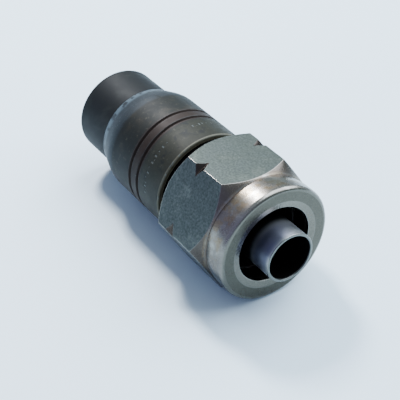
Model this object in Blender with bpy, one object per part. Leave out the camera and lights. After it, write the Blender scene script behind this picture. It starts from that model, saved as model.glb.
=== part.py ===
"""Quick disconnect coupler for a compressed-gas hose, modelled as 21 separate pieces.

The coupler's axis runs along +X, from the mouth that takes the plug to the end that takes the hose.
Every turned piece is drawn as an outline of (station, radius) points, where the station is the
distance behind the mouth face, and is spun about the axis. The hexagon nut rests on one flat at z = 0.
"""

import math

import bmesh
import bpy
from mathutils import Matrix, Vector

MM = 0.001

# ---------------------------------------------------------------- driving dimensions: lengths
NOSE_LENGTH = 10.6 * MM          # bare front end of the body, ahead of the sleeve
SLEEVE_LENGTH = 23.0 * MM
NUT_LENGTH = 19.8 * MM
TAIL_REACH = 4.4 * MM            # hose tail standing out of the nut
BALL_SETBACK = 6.4 * MM          # ball centres behind the sleeve's front edge
LAND_LENGTH = 2.65 * MM          # inner band of the sleeve that holds the balls in
CUP_OVERLAP = 5.4 * MM           # adapter's cup under the sleeve's rear end
CUP_DEPTH = 6.4 * MM             # body's rear end inside the adapter's cup
HOSE_GRIP_LENGTH = 8.0 * MM      # hose stop face to the nut's front face
GUIDE_THICKNESS = 1.8 * MM
WASHER_THICKNESS = 0.6 * MM
SEAT_WEB = 1.2 * MM              # thickness of the valve seat's web
FRONT_LIP = 1.0 * MM             # wall ahead of the plug seal's groove
REAR_LIP = 1.3 * MM              # wall behind it
VALVE_LEAD = 1.6 * MM            # valve's front end ahead of the plug seal
HEAD_THICKNESS = 1.0 * MM
STEM_OVERRUN = 0.5 * MM          # stem's end behind the adapter's cup floor
BODY_SEAL_SETBACK = 2.65 * MM    # body seal ahead of the body's rear end
RELIEF_WIDTH = 1.0 * MM          # run-out groove ahead of the adapter's thread
RELIEF_LEAD = 0.3 * MM           # its rear edge ahead of the nut
CLAMP_BAND = 1.1 * MM            # straight part of the clamp ring
CLAMP_CONE_LENGTH = 1.8 * MM
MOUTH_BEVEL = 1.0 * MM

# ---------------------------------------------------------------- driving dimensions: radii and walls
PLUG_BORE = 6.0 * MM             # radius of the socket that takes the plug
TIP_STEP = 1.0 * MM              # the plug's tip runs in a smaller, sealed bore
BALL_RADIUS = 1.5 * MM
BALL_PROTRUSION = 0.72 * MM      # reach of a locked ball into the socket
BALL_COUNT = 8
CUP_WALL = 1.55 * MM
SKIRT_WALL = 0.97 * MM           # sleeve wall at its rear end
TIP_WALL = 0.2 * MM              # sleeve wall at its worn front edge
SPANNER_SIZE = 24.0 * MM         # across the nut's flats
HOSE_RADIUS = 7.5 * MM           # outside of the hose
HOSE_BORE = 5.0 * MM             # inside of the hose
TAIL_WALL = 0.5 * MM
TAIL_CONE_RISE = 2.0 * MM        # widening of the tail's bore at the cup's floor
VALVE_TUBE_WALL = 1.2 * MM
STEM_RADIUS = 1.5 * MM
THREAD_STEP = 0.4 * MM           # adapter's thread below its collar
CLAMP_WALL = 1.75 * MM
CLAMP_CONE_DROP = 1.25 * MM

# ---------------------------------------------------------------- driving dimensions: seals and wires
PLUG_SEAL_SECTION = 0.8 * MM     # section radii of the three rubber rings
POPPET_SEAL_SECTION = 0.7 * MM
BODY_SEAL_SECTION = 0.52 * MM
SLEEVE_WIRE = 0.45 * MM          # wire radii of the two springs
VALVE_WIRE = 0.3 * MM
SLEEVE_SPRING_TURNS = 2.5        # open turns, between the closed ones
VALVE_SPRING_TURNS = 2.0

# ---------------------------------------------------------------- travels
SLEEVE_TRAVEL = 2.0 * MM
BALL_LIFT = 0.75 * MM
VALVE_TRAVEL = 3.5 * MM

# ---------------------------------------------------------------- clearances
SLIDE_CLEARANCE = 0.2 * MM       # sleeve on the nose
LAND_CLEARANCE = 0.3 * MM        # sleeve's land on the body's barrel
BALL_CLEARANCE = 0.22 * MM       # locked ball under the land
BALL_HOLE_GAP = 0.15 * MM        # hole wider than the ball outside, narrower at the bore
RECESS_CLEARANCE = 0.52 * MM     # lifted ball under the sleeve's front bore
RAMP_CLEARANCE = 0.25 * MM       # between the sleeve's ramp and the body's cone
SEAT_GAP = 0.3 * MM              # between faces that bear on each other
RING_GAP = 0.15 * MM             # between a rubber ring and its seat
SCREW_GAP = 0.15 * MM            # body's barrel in the adapter's cup
NUT_GAP = 0.3 * MM               # nut's bore over the adapter's thread
HOSE_GAP = 0.15 * MM             # clamp ring over the hose
MOUTH_GAP = 0.31 * MM            # nut's mouth over the hose
CLAMP_GAP = 0.4 * MM             # nut's inner wall over the clamp ring
BORE_GAP = 0.4 * MM              # valve's tube in its seat
RING_FIT = 0.1 * MM              # rubber ring in or over the part it seals
CUP_RING_GAP = 0.08 * MM         # body seal under the cup's wall
GROOVE_GAP = 0.03 * MM           # body seal over its groove's floor
TAIL_FIT = 0.05 * MM             # tail in the hose's bore
STOP_GAP = 0.2 * MM              # sleeve short of the nut at its full travel
WASHER_GAP = 0.2 * MM            # washer ahead of the cup
COIL_GAP = 0.2 * MM              # spring's ends off their seats
PORT_LEAD = 1.2 * MM             # ports behind the seat when the valve is open
TUBE_GAP = 0.9 * MM              # plug's wall around the valve's tube
FLOW_GAP = 0.8 * MM              # valve's head in its chamber
STEM_GAP = 0.25 * MM
LAND_LEAD = 0.15 * MM            # land's start ahead of the ball centres

# ---------------------------------------------------------------- nut and sleeve shape
NUT_CHAMFER_DROP = 0.3 * MM      # nut's rear face radius below the flats
NECK_DROP = 0.3 * MM             # nut's neck radius below the flats
COLLAR_DROP = 0.05 * MM          # nut's collar radius below the flats
NECK_SETBACK = 5.1 * MM          # neck behind the nut's front face
COLLAR_ROUND = 0.8 * MM
COLLAR_LAND = 2.0 * MM
DISH_WIDTH = 1.33 * MM
DISH_DEPTH = 0.3 * MM
DISH_DRAFT = 0.1 * MM
NUT_BEVEL = 0.5 * MM             # rear edge of the nut's bore
NUT_STOCK = 0.35 * MM            # turned blank over the hexagon's corners
TAIL_RIM = 0.15 * MM
NOTCH_SETBACK = 13.9 * MM        # left-hand thread notch behind the nut's front face
NOTCH_HALF_WIDTH = 1.25 * MM
NOTCH_DEPTH = 0.86 * MM
SHOULDER_ANGLE = math.radians(17.5)
SHOULDER_ROUND = 6.0 * MM
GRIP_GROOVE_SETBACKS = (10.4 * MM, 7.7 * MM)
GRIP_GROOVE_WIDTH = 0.9 * MM
GRIP_GROOVE_DEPTH = 0.35 * MM
NOSE_ROUND = 0.5 * MM
EDGE_BREAK = 0.3 * MM
OVERCUT = 0.8 * MM               # cutters run past what they cut
CLAMP_SLOT = 1.6 * MM
GUIDE_HOLES = 6
GUIDE_HOLE_RADIUS = 1.25 * MM
PORT_RADIUS = 0.9 * MM
PORT_COUNT = 4

# ---------------------------------------------------------------- worked-out radii
PLUG_TIP_BORE = PLUG_BORE - TIP_STEP
VALVE_TUBE_RADIUS = PLUG_TIP_BORE - TUBE_GAP
BALL_ORBIT = PLUG_BORE - BALL_PROTRUSION + BALL_RADIUS
LAND_RADIUS = BALL_ORBIT + BALL_RADIUS + BALL_CLEARANCE
BARREL_RADIUS = LAND_RADIUS - LAND_CLEARANCE
RECESS_RADIUS = BALL_ORBIT + BALL_LIFT + BALL_RADIUS + RECESS_CLEARANCE
NOSE_RADIUS = RECESS_RADIUS - SLIDE_CLEARANCE
SLEEVE_TIP_RADIUS = RECESS_RADIUS + TIP_WALL
CUP_BORE = BARREL_RADIUS + SCREW_GAP
CUP_RADIUS = CUP_BORE + CUP_WALL
SKIRT_BORE = CUP_RADIUS + SEAT_GAP
SLEEVE_RADIUS = SKIRT_BORE + SKIRT_WALL
THREAD_RADIUS = CUP_RADIUS - THREAD_STEP
NUT_BORE = THREAD_RADIUS + NUT_GAP
NUT_MOUTH = HOSE_RADIUS + MOUTH_GAP
HALF_FLATS = SPANNER_SIZE / 2
CORNER_RADIUS = HALF_FLATS / math.cos(math.pi / 6)
TAIL_RADIUS = HOSE_BORE + TAIL_FIT
TAIL_BORE = TAIL_RADIUS - TAIL_WALL
SEAT_BORE = VALVE_TUBE_RADIUS + BORE_GAP
POPPET_SEAL_ORBIT = VALVE_TUBE_RADIUS + RING_FIT + POPPET_SEAL_SECTION
HEAD_RADIUS = POPPET_SEAL_ORBIT + POPPET_SEAL_SECTION
CHAMBER_BORE = HEAD_RADIUS + FLOW_GAP
VALVE_COIL_RADIUS = (STEM_RADIUS + HEAD_RADIUS) / 2
PLUG_SEAL_ORBIT = PLUG_TIP_BORE - RING_FIT + PLUG_SEAL_SECTION
PLUG_GROOVE_RADIUS = PLUG_SEAL_ORBIT + PLUG_SEAL_SECTION + RING_FIT
BODY_SEAL_ORBIT = CUP_BORE - CUP_RING_GAP - BODY_SEAL_SECTION
BODY_GROOVE_RADIUS = BODY_SEAL_ORBIT - BODY_SEAL_SECTION - GROOVE_GAP
CLAMP_BORE = HOSE_RADIUS + HOSE_GAP
CLAMP_RADIUS = CLAMP_BORE + CLAMP_WALL
CLAMP_CHAMBER = CLAMP_RADIUS + CLAMP_GAP
SPRING_ORBIT = (BARREL_RADIUS + SKIRT_BORE) / 2

# ---------------------------------------------------------------- worked-out stations behind the mouth
SLEEVE_FRONT = NOSE_LENGTH
SLEEVE_REAR = SLEEVE_FRONT + SLEEVE_LENGTH
BALL_STATION = SLEEVE_FRONT + BALL_SETBACK
LAND_FRONT = BALL_STATION - LAND_LEAD
LAND_REAR = LAND_FRONT + LAND_LENGTH
SOCKET_STEP_FRONT = BALL_STATION + BALL_RADIUS + SEAT_GAP
SOCKET_STEP_REAR = SOCKET_STEP_FRONT + 0.7 * TIP_STEP
PLUG_GROOVE_HALF = PLUG_SEAL_SECTION + RING_FIT
PLUG_SEAL_STATION = SOCKET_STEP_REAR + FRONT_LIP + PLUG_GROOVE_HALF
SEAT_FRONT = PLUG_SEAL_STATION + PLUG_GROOVE_HALF + REAR_LIP
SEAT_REAR = SEAT_FRONT + SEAT_WEB
POPPET_SEAL_STATION = SEAT_REAR + RING_GAP + POPPET_SEAL_SECTION
HEAD_FRONT = POPPET_SEAL_STATION + POPPET_SEAL_SECTION + RING_GAP
HEAD_REAR = HEAD_FRONT + HEAD_THICKNESS
VALVE_FRONT = PLUG_SEAL_STATION - VALVE_LEAD
PORT_STATION = SEAT_REAR + PORT_RADIUS + PORT_LEAD - VALVE_TRAVEL
CUP_FRONT = SLEEVE_REAR - CUP_OVERLAP
WASHER_REAR = CUP_FRONT - WASHER_GAP
WASHER_FRONT = WASHER_REAR - WASHER_THICKNESS
BODY_REAR = CUP_FRONT + CUP_DEPTH
BODY_SEAL_STATION = BODY_REAR - BODY_SEAL_SETBACK
GUIDE_FRONT = BODY_REAR + SEAT_GAP
GUIDE_REAR = GUIDE_FRONT + GUIDE_THICKNESS
CUP_FLOOR = GUIDE_REAR + SEAT_GAP
STEM_END = CUP_FLOOR + STEM_OVERRUN
NUT_REAR = SLEEVE_REAR + SLEEVE_TRAVEL + STOP_GAP
NUT_FRONT = NUT_REAR + NUT_LENGTH
HOSE_STOP = NUT_FRONT - HOSE_GRIP_LENGTH
TAIL_END = NUT_FRONT + TAIL_REACH
CLAMP_REAR = HOSE_STOP + SEAT_GAP
CLAMP_SHOULDER = CLAMP_REAR + CLAMP_BAND
CLAMP_FRONT = CLAMP_SHOULDER + CLAMP_CONE_LENGTH

OUTER_SEGMENTS = 48
BODY_SEGMENTS = 32
INNER_SEGMENTS = 24


def clear_scene():
    """Remove every object that the open scene holds."""
    for thing in list(bpy.data.objects):
        bpy.data.objects.remove(thing, do_unlink=True)


def finish(name, color, roughness, metallic=1.0):
    """Return a plain Principled material with one colour."""
    material = bpy.data.materials.new(name)
    material.use_nodes = True
    shader = material.node_tree.nodes["Principled BSDF"]
    shader.inputs["Base Color"].default_value = (*color, 1.0)
    shader.inputs["Roughness"].default_value = roughness
    shader.inputs["Metallic"].default_value = metallic
    return material


def add_object(name, bm, material, parent, location=(0.0, 0.0, 0.0)):
    """Turn a bmesh into a smooth-shaded object that hangs on the coupler's axis."""
    bmesh.ops.recalc_face_normals(bm, faces=bm.faces)
    mesh = bpy.data.meshes.new(name)
    bm.to_mesh(mesh)
    bm.free()
    mesh.shade_smooth()
    mesh.set_sharp_from_angle(angle=math.radians(30.0))
    piece = bpy.data.objects.new(name, mesh)
    piece.location = location
    piece.parent = parent
    if material is not None:
        mesh.materials.append(material)
    bpy.context.scene.collection.objects.link(piece)
    return piece


def as_cutter(piece):
    """Keep a cutting shape out of renders and out of the finished assembly."""
    piece.hide_render = True
    piece.display_type = "WIRE"
    return piece


def cut(piece, cutter, operation="DIFFERENCE"):
    """Add a Boolean modifier that cuts a piece with a cutter."""
    modifier = piece.modifiers.new(f"{operation.lower()}_{cutter.name}", "BOOLEAN")
    modifier.operation = operation
    modifier.solver = "EXACT"
    modifier.object = cutter


def arc(centre, radius, start_deg, end_deg, steps):
    """Return points on an arc in the (station, radius) plane."""
    points = []
    for step in range(steps + 1):
        angle = math.radians(start_deg + (end_deg - start_deg) * step / steps)
        points.append((centre[0] + radius * math.cos(angle), centre[1] + radius * math.sin(angle)))
    return points


def turned(outline, segments):
    """Spin an outline of (station, radius) points about the X axis.

    The outline closes on itself, or starts and ends on the axis.
    """
    bm = bmesh.new()
    verts = [bm.verts.new((station, 0.0, radius)) for station, radius in outline]
    edges = [bm.edges.new(pair) for pair in zip(verts, verts[1:])]
    if outline[0][1] > 0.0:
        edges.append(bm.edges.new((verts[-1], verts[0])))
    bmesh.ops.spin(bm, geom=verts + edges, cent=(0.0, 0.0, 0.0), axis=(1.0, 0.0, 0.0),
                   dvec=(0.0, 0.0, 0.0), angle=2 * math.pi, steps=segments, use_merge=True)
    bmesh.ops.remove_doubles(bm, verts=bm.verts, dist=0.001 * MM)
    return bm


def seal_ring(name, orbit, section, station, material, parent):
    """Model a rubber ring of round section."""
    outline = arc((station, orbit), section, 0.0, 360.0, 8)[:-1]
    return add_object(name, turned(outline, BODY_SEGMENTS), material, parent)


def coil(orbit, wire, front, rear, active_turns, steps_per_turn=16):
    """Wind a compression spring with one closed turn at each end."""
    closed_pitch = 2 * wire * 1.1
    active_rise = (rear - front) - 2 * wire - 2 * closed_pitch
    bm = bmesh.new()
    ring = bmesh.ops.create_circle(bm, cap_ends=True, segments=6, radius=wire,
                                   matrix=Matrix.Translation((front + wire, 0.0, orbit))
                                   @ Matrix.Rotation(math.pi / 2, 4, "X"))
    end = list({edge for vert in ring["verts"] for edge in vert.link_edges})
    for turns, rise in ((1, closed_pitch), (active_turns, active_rise), (1, closed_pitch)):
        steps = round(turns * steps_per_turn)
        wound = bmesh.ops.spin(bm, geom=end, cent=(0.0, 0.0, 0.0), axis=(1.0, 0.0, 0.0),
                               dvec=(rise / steps, 0.0, 0.0), angle=2 * math.pi * turns, steps=steps)
        end = [item for item in wound["geom_last"] if isinstance(item, bmesh.types.BMEdge)]
    bmesh.ops.contextual_create(bm, geom=end)
    return bm


def radial_cutter(name, count, station, outline, parent, segments=12):
    """Model a ring of radial drills, each a turned (depth, radius) outline that points outward."""
    bm = bmesh.new()
    for index in range(count):
        drill = turned(outline, segments)
        turn = Matrix.Rotation(2 * math.pi * index / count, 4, "X")
        upright = Matrix.Rotation(-math.pi / 2, 4, "Y")
        bmesh.ops.transform(drill, verts=drill.verts,
                            matrix=turn @ Matrix.Translation((station, 0.0, 0.0)) @ upright)
        bmesh.ops.recalc_face_normals(drill, faces=drill.faces)
        scratch = bpy.data.meshes.new("drill")
        drill.to_mesh(scratch)
        drill.free()
        bm.from_mesh(scratch)
        bpy.data.meshes.remove(scratch)
    return as_cutter(add_object(name, bm, None, parent))


def make_socket_body(steel, parent):
    """Front body: plug socket, ball holes, seal groove, valve seat and valve chamber."""
    cone_sum = LAND_FRONT + LAND_RADIUS - RAMP_CLEARANCE * math.sqrt(2)
    rear_groove_half = BODY_SEAL_SECTION + RING_FIT
    nose_centre = (NOSE_ROUND, NOSE_RADIUS - NOSE_ROUND)
    outline = [
        (MOUTH_BEVEL, PLUG_BORE),
        (0.0, PLUG_BORE + MOUTH_BEVEL),
        *arc(nose_centre, NOSE_ROUND, 180.0, 90.0, 3),
        (cone_sum - NOSE_RADIUS, NOSE_RADIUS),
        (cone_sum - BARREL_RADIUS, BARREL_RADIUS),
        (BODY_SEAL_STATION - rear_groove_half, BARREL_RADIUS),
        (BODY_SEAL_STATION - rear_groove_half, BODY_GROOVE_RADIUS),
        (BODY_SEAL_STATION + rear_groove_half, BODY_GROOVE_RADIUS),
        (BODY_SEAL_STATION + rear_groove_half, BARREL_RADIUS),
        (BODY_REAR - EDGE_BREAK, BARREL_RADIUS),
        (BODY_REAR, BARREL_RADIUS - EDGE_BREAK),
        (BODY_REAR, CHAMBER_BORE),
        (SEAT_REAR, CHAMBER_BORE),
        (SEAT_REAR, SEAT_BORE),
        (SEAT_FRONT, SEAT_BORE),
        (SEAT_FRONT, PLUG_TIP_BORE),
        (PLUG_SEAL_STATION + PLUG_GROOVE_HALF, PLUG_TIP_BORE),
        (PLUG_SEAL_STATION + PLUG_GROOVE_HALF, PLUG_GROOVE_RADIUS),
        (PLUG_SEAL_STATION - PLUG_GROOVE_HALF, PLUG_GROOVE_RADIUS),
        (PLUG_SEAL_STATION - PLUG_GROOVE_HALF, PLUG_TIP_BORE),
        (SOCKET_STEP_REAR, PLUG_TIP_BORE),
        (SOCKET_STEP_FRONT, PLUG_BORE),
    ]
    body = add_object("socket_body", turned(outline, BODY_SEGMENTS), steel, parent)
    drill = [
        (PLUG_BORE - OVERCUT, 0.0),
        (PLUG_BORE - OVERCUT, BALL_RADIUS - BALL_HOLE_GAP),
        (PLUG_BORE, BALL_RADIUS - BALL_HOLE_GAP),
        (BALL_ORBIT, BALL_RADIUS + BALL_HOLE_GAP),
        (NOSE_RADIUS + OVERCUT, BALL_RADIUS + BALL_HOLE_GAP),
        (NOSE_RADIUS + OVERCUT, 0.0),
    ]
    cut(body, radial_cutter("ball_hole_cutter", BALL_COUNT, BALL_STATION, drill, parent))
    return body


def make_release_sleeve(steel, parent):
    """Sliding sleeve: outer shoulder, two grip grooves, and the ramp and land over the balls."""
    slope = math.tan(SHOULDER_ANGLE)
    shoulder_end = SLEEVE_FRONT + (SLEEVE_RADIUS - SLEEVE_TIP_RADIUS) / slope
    tangent = SHOULDER_ROUND * math.tan(SHOULDER_ANGLE / 2)
    round_centre = (shoulder_end + tangent, SLEEVE_RADIUS - SHOULDER_ROUND)
    grooves = []
    for setback in GRIP_GROOVE_SETBACKS:
        station = SLEEVE_REAR - setback
        grooves += [
            (station - GRIP_GROOVE_WIDTH / 2, SLEEVE_RADIUS),
            (station - GRIP_GROOVE_WIDTH / 4, SLEEVE_RADIUS - GRIP_GROOVE_DEPTH),
            (station + GRIP_GROOVE_WIDTH / 4, SLEEVE_RADIUS - GRIP_GROOVE_DEPTH),
            (station + GRIP_GROOVE_WIDTH / 2, SLEEVE_RADIUS),
        ]
    outline = [
        (SLEEVE_FRONT, RECESS_RADIUS),
        (SLEEVE_FRONT, SLEEVE_TIP_RADIUS),
        *arc(round_centre, SHOULDER_ROUND, 90.0 + math.degrees(SHOULDER_ANGLE), 90.0, 3),
        *grooves,
        (SLEEVE_REAR - EDGE_BREAK, SLEEVE_RADIUS),
        (SLEEVE_REAR, SLEEVE_RADIUS - EDGE_BREAK),
        (SLEEVE_REAR, SKIRT_BORE),
        (LAND_REAR, SKIRT_BORE),
        (LAND_REAR, LAND_RADIUS),
        (LAND_FRONT, LAND_RADIUS),
        (LAND_FRONT + LAND_RADIUS - RECESS_RADIUS, RECESS_RADIUS),
    ]
    return add_object("release_sleeve", turned(outline, OUTER_SEGMENTS), steel, parent)


def make_lock_balls(steel, parent):
    """Ring of hardened balls, each with its origin at its own centre."""
    for index in range(BALL_COUNT):
        angle = 2 * math.pi * index / BALL_COUNT
        bm = bmesh.new()
        bmesh.ops.create_uvsphere(bm, u_segments=10, v_segments=6, radius=BALL_RADIUS)
        centre = Vector((BALL_STATION, -BALL_ORBIT * math.sin(angle), BALL_ORBIT * math.cos(angle)))
        add_object(f"lock_ball_{index + 1}", bm, steel, parent, centre)


def make_sleeve_spring(steel, parent):
    """Spring that pushes the sleeve forward over the balls."""
    wire = coil(SPRING_ORBIT, SLEEVE_WIRE, LAND_REAR + COIL_GAP, WASHER_FRONT - COIL_GAP,
                SLEEVE_SPRING_TURNS)
    return add_object("sleeve_spring", wire, steel, parent)


def make_spring_washer(steel, parent):
    """Flat washer between the sleeve's spring and the adapter's cup."""
    inner = BARREL_RADIUS + SLIDE_CLEARANCE
    outer = SKIRT_BORE - SEAT_GAP
    outline = [
        (WASHER_FRONT, inner),
        (WASHER_FRONT, outer),
        (WASHER_REAR, outer),
        (WASHER_REAR, inner),
    ]
    return add_object("spring_washer", turned(outline, INNER_SEGMENTS), steel, parent)


def make_valve_poppet(brass, parent):
    """Valve poppet: a ported tube that the plug pushes, a head behind the seat, and a stem."""
    tube_bore = VALVE_TUBE_RADIUS - VALVE_TUBE_WALL
    bore_end = SEAT_REAR + RING_FIT
    outline = [
        (bore_end, 0.0),
        (bore_end, tube_bore),
        (VALVE_FRONT, tube_bore),
        (VALVE_FRONT, VALVE_TUBE_RADIUS),
        (HEAD_FRONT, VALVE_TUBE_RADIUS),
        (HEAD_FRONT, HEAD_RADIUS),
        (HEAD_REAR, HEAD_RADIUS),
        (HEAD_REAR, STEM_RADIUS),
        (STEM_END - EDGE_BREAK, STEM_RADIUS),
        (STEM_END, STEM_RADIUS - EDGE_BREAK),
        (STEM_END, 0.0),
    ]
    poppet = add_object("valve_poppet", turned(outline, INNER_SEGMENTS), brass, parent)
    drill = [
        (tube_bore - OVERCUT, 0.0),
        (tube_bore - OVERCUT, PORT_RADIUS),
        (VALVE_TUBE_RADIUS + OVERCUT, PORT_RADIUS),
        (VALVE_TUBE_RADIUS + OVERCUT, 0.0),
    ]
    cut(poppet, radial_cutter("port_cutter", PORT_COUNT, PORT_STATION, drill, parent, 10))
    return poppet


def make_valve_spring(steel, parent):
    """Spring that closes the valve when the plug leaves."""
    wire = coil(VALVE_COIL_RADIUS, VALVE_WIRE, HEAD_REAR + COIL_GAP, GUIDE_FRONT - COIL_GAP,
                VALVE_SPRING_TURNS)
    return add_object("valve_spring", wire, steel, parent)


def make_valve_guide(brass, parent):
    """Perforated disc that guides the valve's stem."""
    bore = STEM_RADIUS + STEM_GAP
    outer = CUP_BORE - SEAT_GAP
    outline = [
        (GUIDE_FRONT, bore),
        (GUIDE_FRONT, outer),
        (GUIDE_REAR, outer),
        (GUIDE_REAR, bore),
    ]
    guide = add_object("valve_guide", turned(outline, INNER_SEGMENTS), brass, parent)
    orbit = (bore + CHAMBER_BORE) / 2 + SEAT_GAP
    bm = bmesh.new()
    for index in range(GUIDE_HOLES):
        angle = 2 * math.pi * index / GUIDE_HOLES
        place = (
            Matrix.Rotation(angle, 4, "X")
            @ Matrix.Translation(((GUIDE_FRONT + GUIDE_REAR) / 2, orbit, 0.0))
            @ Matrix.Rotation(math.pi / 2, 4, "Y")
        )
        bmesh.ops.create_cone(bm, cap_ends=True, segments=12, radius1=GUIDE_HOLE_RADIUS,
                              radius2=GUIDE_HOLE_RADIUS, depth=2 * GUIDE_THICKNESS, matrix=place)
    cut(guide, as_cutter(add_object("guide_hole_cutter", bm, None, parent)))
    return guide


def make_hose_adapter(steel, parent):
    """Rear body: cup for the socket body, outer thread for the nut, and the hose tail."""
    relief_rear = NUT_REAR - RELIEF_LEAD
    relief_front = relief_rear - RELIEF_WIDTH
    relief_radius = THREAD_RADIUS - THREAD_STEP
    cone_front = TAIL_BORE + TAIL_CONE_RISE
    outline = [
        (CUP_FRONT, CUP_BORE),
        (CUP_FRONT, CUP_RADIUS - EDGE_BREAK),
        (CUP_FRONT + EDGE_BREAK, CUP_RADIUS),
        (relief_front, CUP_RADIUS),
        (relief_front, relief_radius),
        (relief_rear, relief_radius),
        (relief_rear + THREAD_STEP, THREAD_RADIUS),
        (HOSE_STOP - THREAD_STEP, THREAD_RADIUS),
        (HOSE_STOP, THREAD_RADIUS - THREAD_STEP),
        (HOSE_STOP, TAIL_RADIUS),
        (TAIL_END - EDGE_BREAK, TAIL_RADIUS),
        (TAIL_END, TAIL_RADIUS - TAIL_RIM),
        (TAIL_END, TAIL_BORE + TAIL_RIM),
        (TAIL_END - EDGE_BREAK, TAIL_BORE),
        (CUP_FLOOR + cone_front - TAIL_BORE, TAIL_BORE),
        (CUP_FLOOR, cone_front),
        (CUP_FLOOR, CUP_BORE),
    ]
    return add_object("hose_adapter", turned(outline, BODY_SEGMENTS), steel, parent)


def make_hose_nut(steel, parent):
    """Hexagon union nut with a notched left-hand mark, a collar and a conical inner seat."""
    blank_radius = CORNER_RADIUS + NUT_STOCK
    neck = HALF_FLATS - NECK_DROP
    collar = HALF_FLATS - COLLAR_DROP
    rear_face = HALF_FLATS - NUT_CHAMFER_DROP
    neck_station = NUT_FRONT - NECK_SETBACK
    notch = NUT_FRONT - NOTCH_SETBACK
    flank = NOTCH_HALF_WIDTH / NOTCH_DEPTH
    notch_half = flank * (blank_radius - CORNER_RADIUS + NOTCH_DEPTH)
    cone_slope = CLAMP_CONE_DROP / (CLAMP_FRONT - CLAMP_SHOULDER)
    collar_centre = (NUT_FRONT - COLLAR_ROUND, collar - COLLAR_ROUND)
    outline = [
        (NUT_REAR + NUT_BEVEL, NUT_BORE),
        (NUT_REAR, NUT_BORE + NUT_BEVEL),
        (NUT_REAR, rear_face),
        (NUT_REAR + blank_radius - rear_face, blank_radius),
        (notch - notch_half, blank_radius),
        (notch, CORNER_RADIUS - NOTCH_DEPTH),
        (notch + notch_half, blank_radius),
        (neck_station - (blank_radius - neck), blank_radius),
        (neck_station, neck),
        (NUT_FRONT - COLLAR_ROUND - COLLAR_LAND, collar),
        *arc(collar_centre, COLLAR_ROUND, 90.0, 0.0, 3),
        (NUT_FRONT, NUT_MOUTH + DISH_WIDTH),
        (NUT_FRONT - DISH_DEPTH, NUT_MOUTH + DISH_WIDTH - DISH_DRAFT),
        (NUT_FRONT - DISH_DEPTH, NUT_MOUTH),
        (CLAMP_SHOULDER + (CLAMP_CHAMBER - NUT_MOUTH) / cone_slope, NUT_MOUTH),
        (CLAMP_SHOULDER, CLAMP_CHAMBER),
        (HOSE_STOP + SEAT_GAP / 2, CLAMP_CHAMBER),
        (HOSE_STOP + SEAT_GAP / 2, NUT_BORE),
    ]
    nut = add_object("hose_nut", turned(outline, OUTER_SEGMENTS), steel, parent)
    bm = bmesh.new()
    place = (
        Matrix.Translation(((NUT_REAR + NUT_FRONT) / 2, 0.0, 0.0))
        @ Matrix.Rotation(math.pi / 2, 4, "Y")
    )
    bmesh.ops.create_cone(bm, cap_ends=True, segments=6, radius1=CORNER_RADIUS,
                          radius2=CORNER_RADIUS, depth=NUT_LENGTH + 2 * OVERCUT, matrix=place)
    cut(nut, as_cutter(add_object("hexagon_cutter", bm, None, parent)), "INTERSECT")
    return nut


def make_clamp_ring(steel, parent):
    """Split ring that the nut's cone squeezes onto the hose."""
    outline = [
        (CLAMP_REAR, CLAMP_BORE),
        (CLAMP_REAR, CLAMP_RADIUS),
        (CLAMP_SHOULDER, CLAMP_RADIUS),
        (CLAMP_FRONT, CLAMP_RADIUS - CLAMP_CONE_DROP),
        (CLAMP_FRONT, CLAMP_BORE),
    ]
    ring = add_object("clamp_ring", turned(outline, BODY_SEGMENTS), steel, parent)
    bm = bmesh.new()
    size = Matrix.Diagonal((CLAMP_FRONT - CLAMP_REAR + 2 * OVERCUT, CLAMP_SLOT,
                            CLAMP_WALL + 2 * OVERCUT, 1.0))
    place = Matrix.Translation(((CLAMP_REAR + CLAMP_FRONT) / 2, 0.0, CLAMP_BORE + CLAMP_WALL / 2))
    bmesh.ops.create_cube(bm, size=1.0, matrix=place @ size)
    cut(ring, as_cutter(add_object("clamp_slot_cutter", bm, None, parent)))
    return ring


def main():
    """Build the whole coupler on one empty that marks the mouth's centre."""
    clear_scene()
    axis = bpy.data.objects.new("coupler_axis", None)
    axis.location = (-TAIL_END / 2, 0.0, HALF_FLATS)
    bpy.context.scene.collection.objects.link(axis)

    blackened = finish("blackened_steel", (0.052, 0.057, 0.057), 0.55)
    gunmetal = finish("gunmetal_steel", (0.085, 0.083, 0.074), 0.42)
    bare = finish("bare_steel", (0.33, 0.35, 0.34), 0.45)
    turned_steel = finish("turned_steel", (0.45, 0.46, 0.45), 0.3)
    hardened = finish("hardened_steel", (0.6, 0.6, 0.61), 0.15)
    spring = finish("spring_steel", (0.35, 0.35, 0.36), 0.3)
    brass = finish("brass", (0.6, 0.43, 0.18), 0.3)
    rubber = finish("nitrile_rubber", (0.012, 0.012, 0.013), 0.6, 0.0)

    make_socket_body(blackened, axis)
    make_release_sleeve(gunmetal, axis)
    make_lock_balls(hardened, axis)
    make_sleeve_spring(spring, axis)
    make_spring_washer(turned_steel, axis)
    seal_ring("plug_seal", PLUG_SEAL_ORBIT, PLUG_SEAL_SECTION, PLUG_SEAL_STATION, rubber, axis)
    make_valve_poppet(brass, axis)
    seal_ring("poppet_seal", POPPET_SEAL_ORBIT, POPPET_SEAL_SECTION, POPPET_SEAL_STATION, rubber, axis)
    make_valve_spring(spring, axis)
    make_valve_guide(brass, axis)
    make_hose_adapter(turned_steel, axis)
    seal_ring("body_seal", BODY_SEAL_ORBIT, BODY_SEAL_SECTION, BODY_SEAL_STATION, rubber, axis)
    make_hose_nut(bare, axis)
    make_clamp_ring(turned_steel, axis)


if __name__ == "__main__":
    main()
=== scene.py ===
"""Looks of a quick disconnect hose coupler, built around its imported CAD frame.

Every piece is turned, wound or milled with bmesh operators and dressed in a procedural finish.
Outlines are (station, radius) pairs in millimetres, as on a turner's drawing: the station is the
distance behind the mouth that takes the plug, and the radius is measured from the coupler's axis.
"""

import logging
import math
from dataclasses import dataclass, field
from enum import Enum

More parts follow.
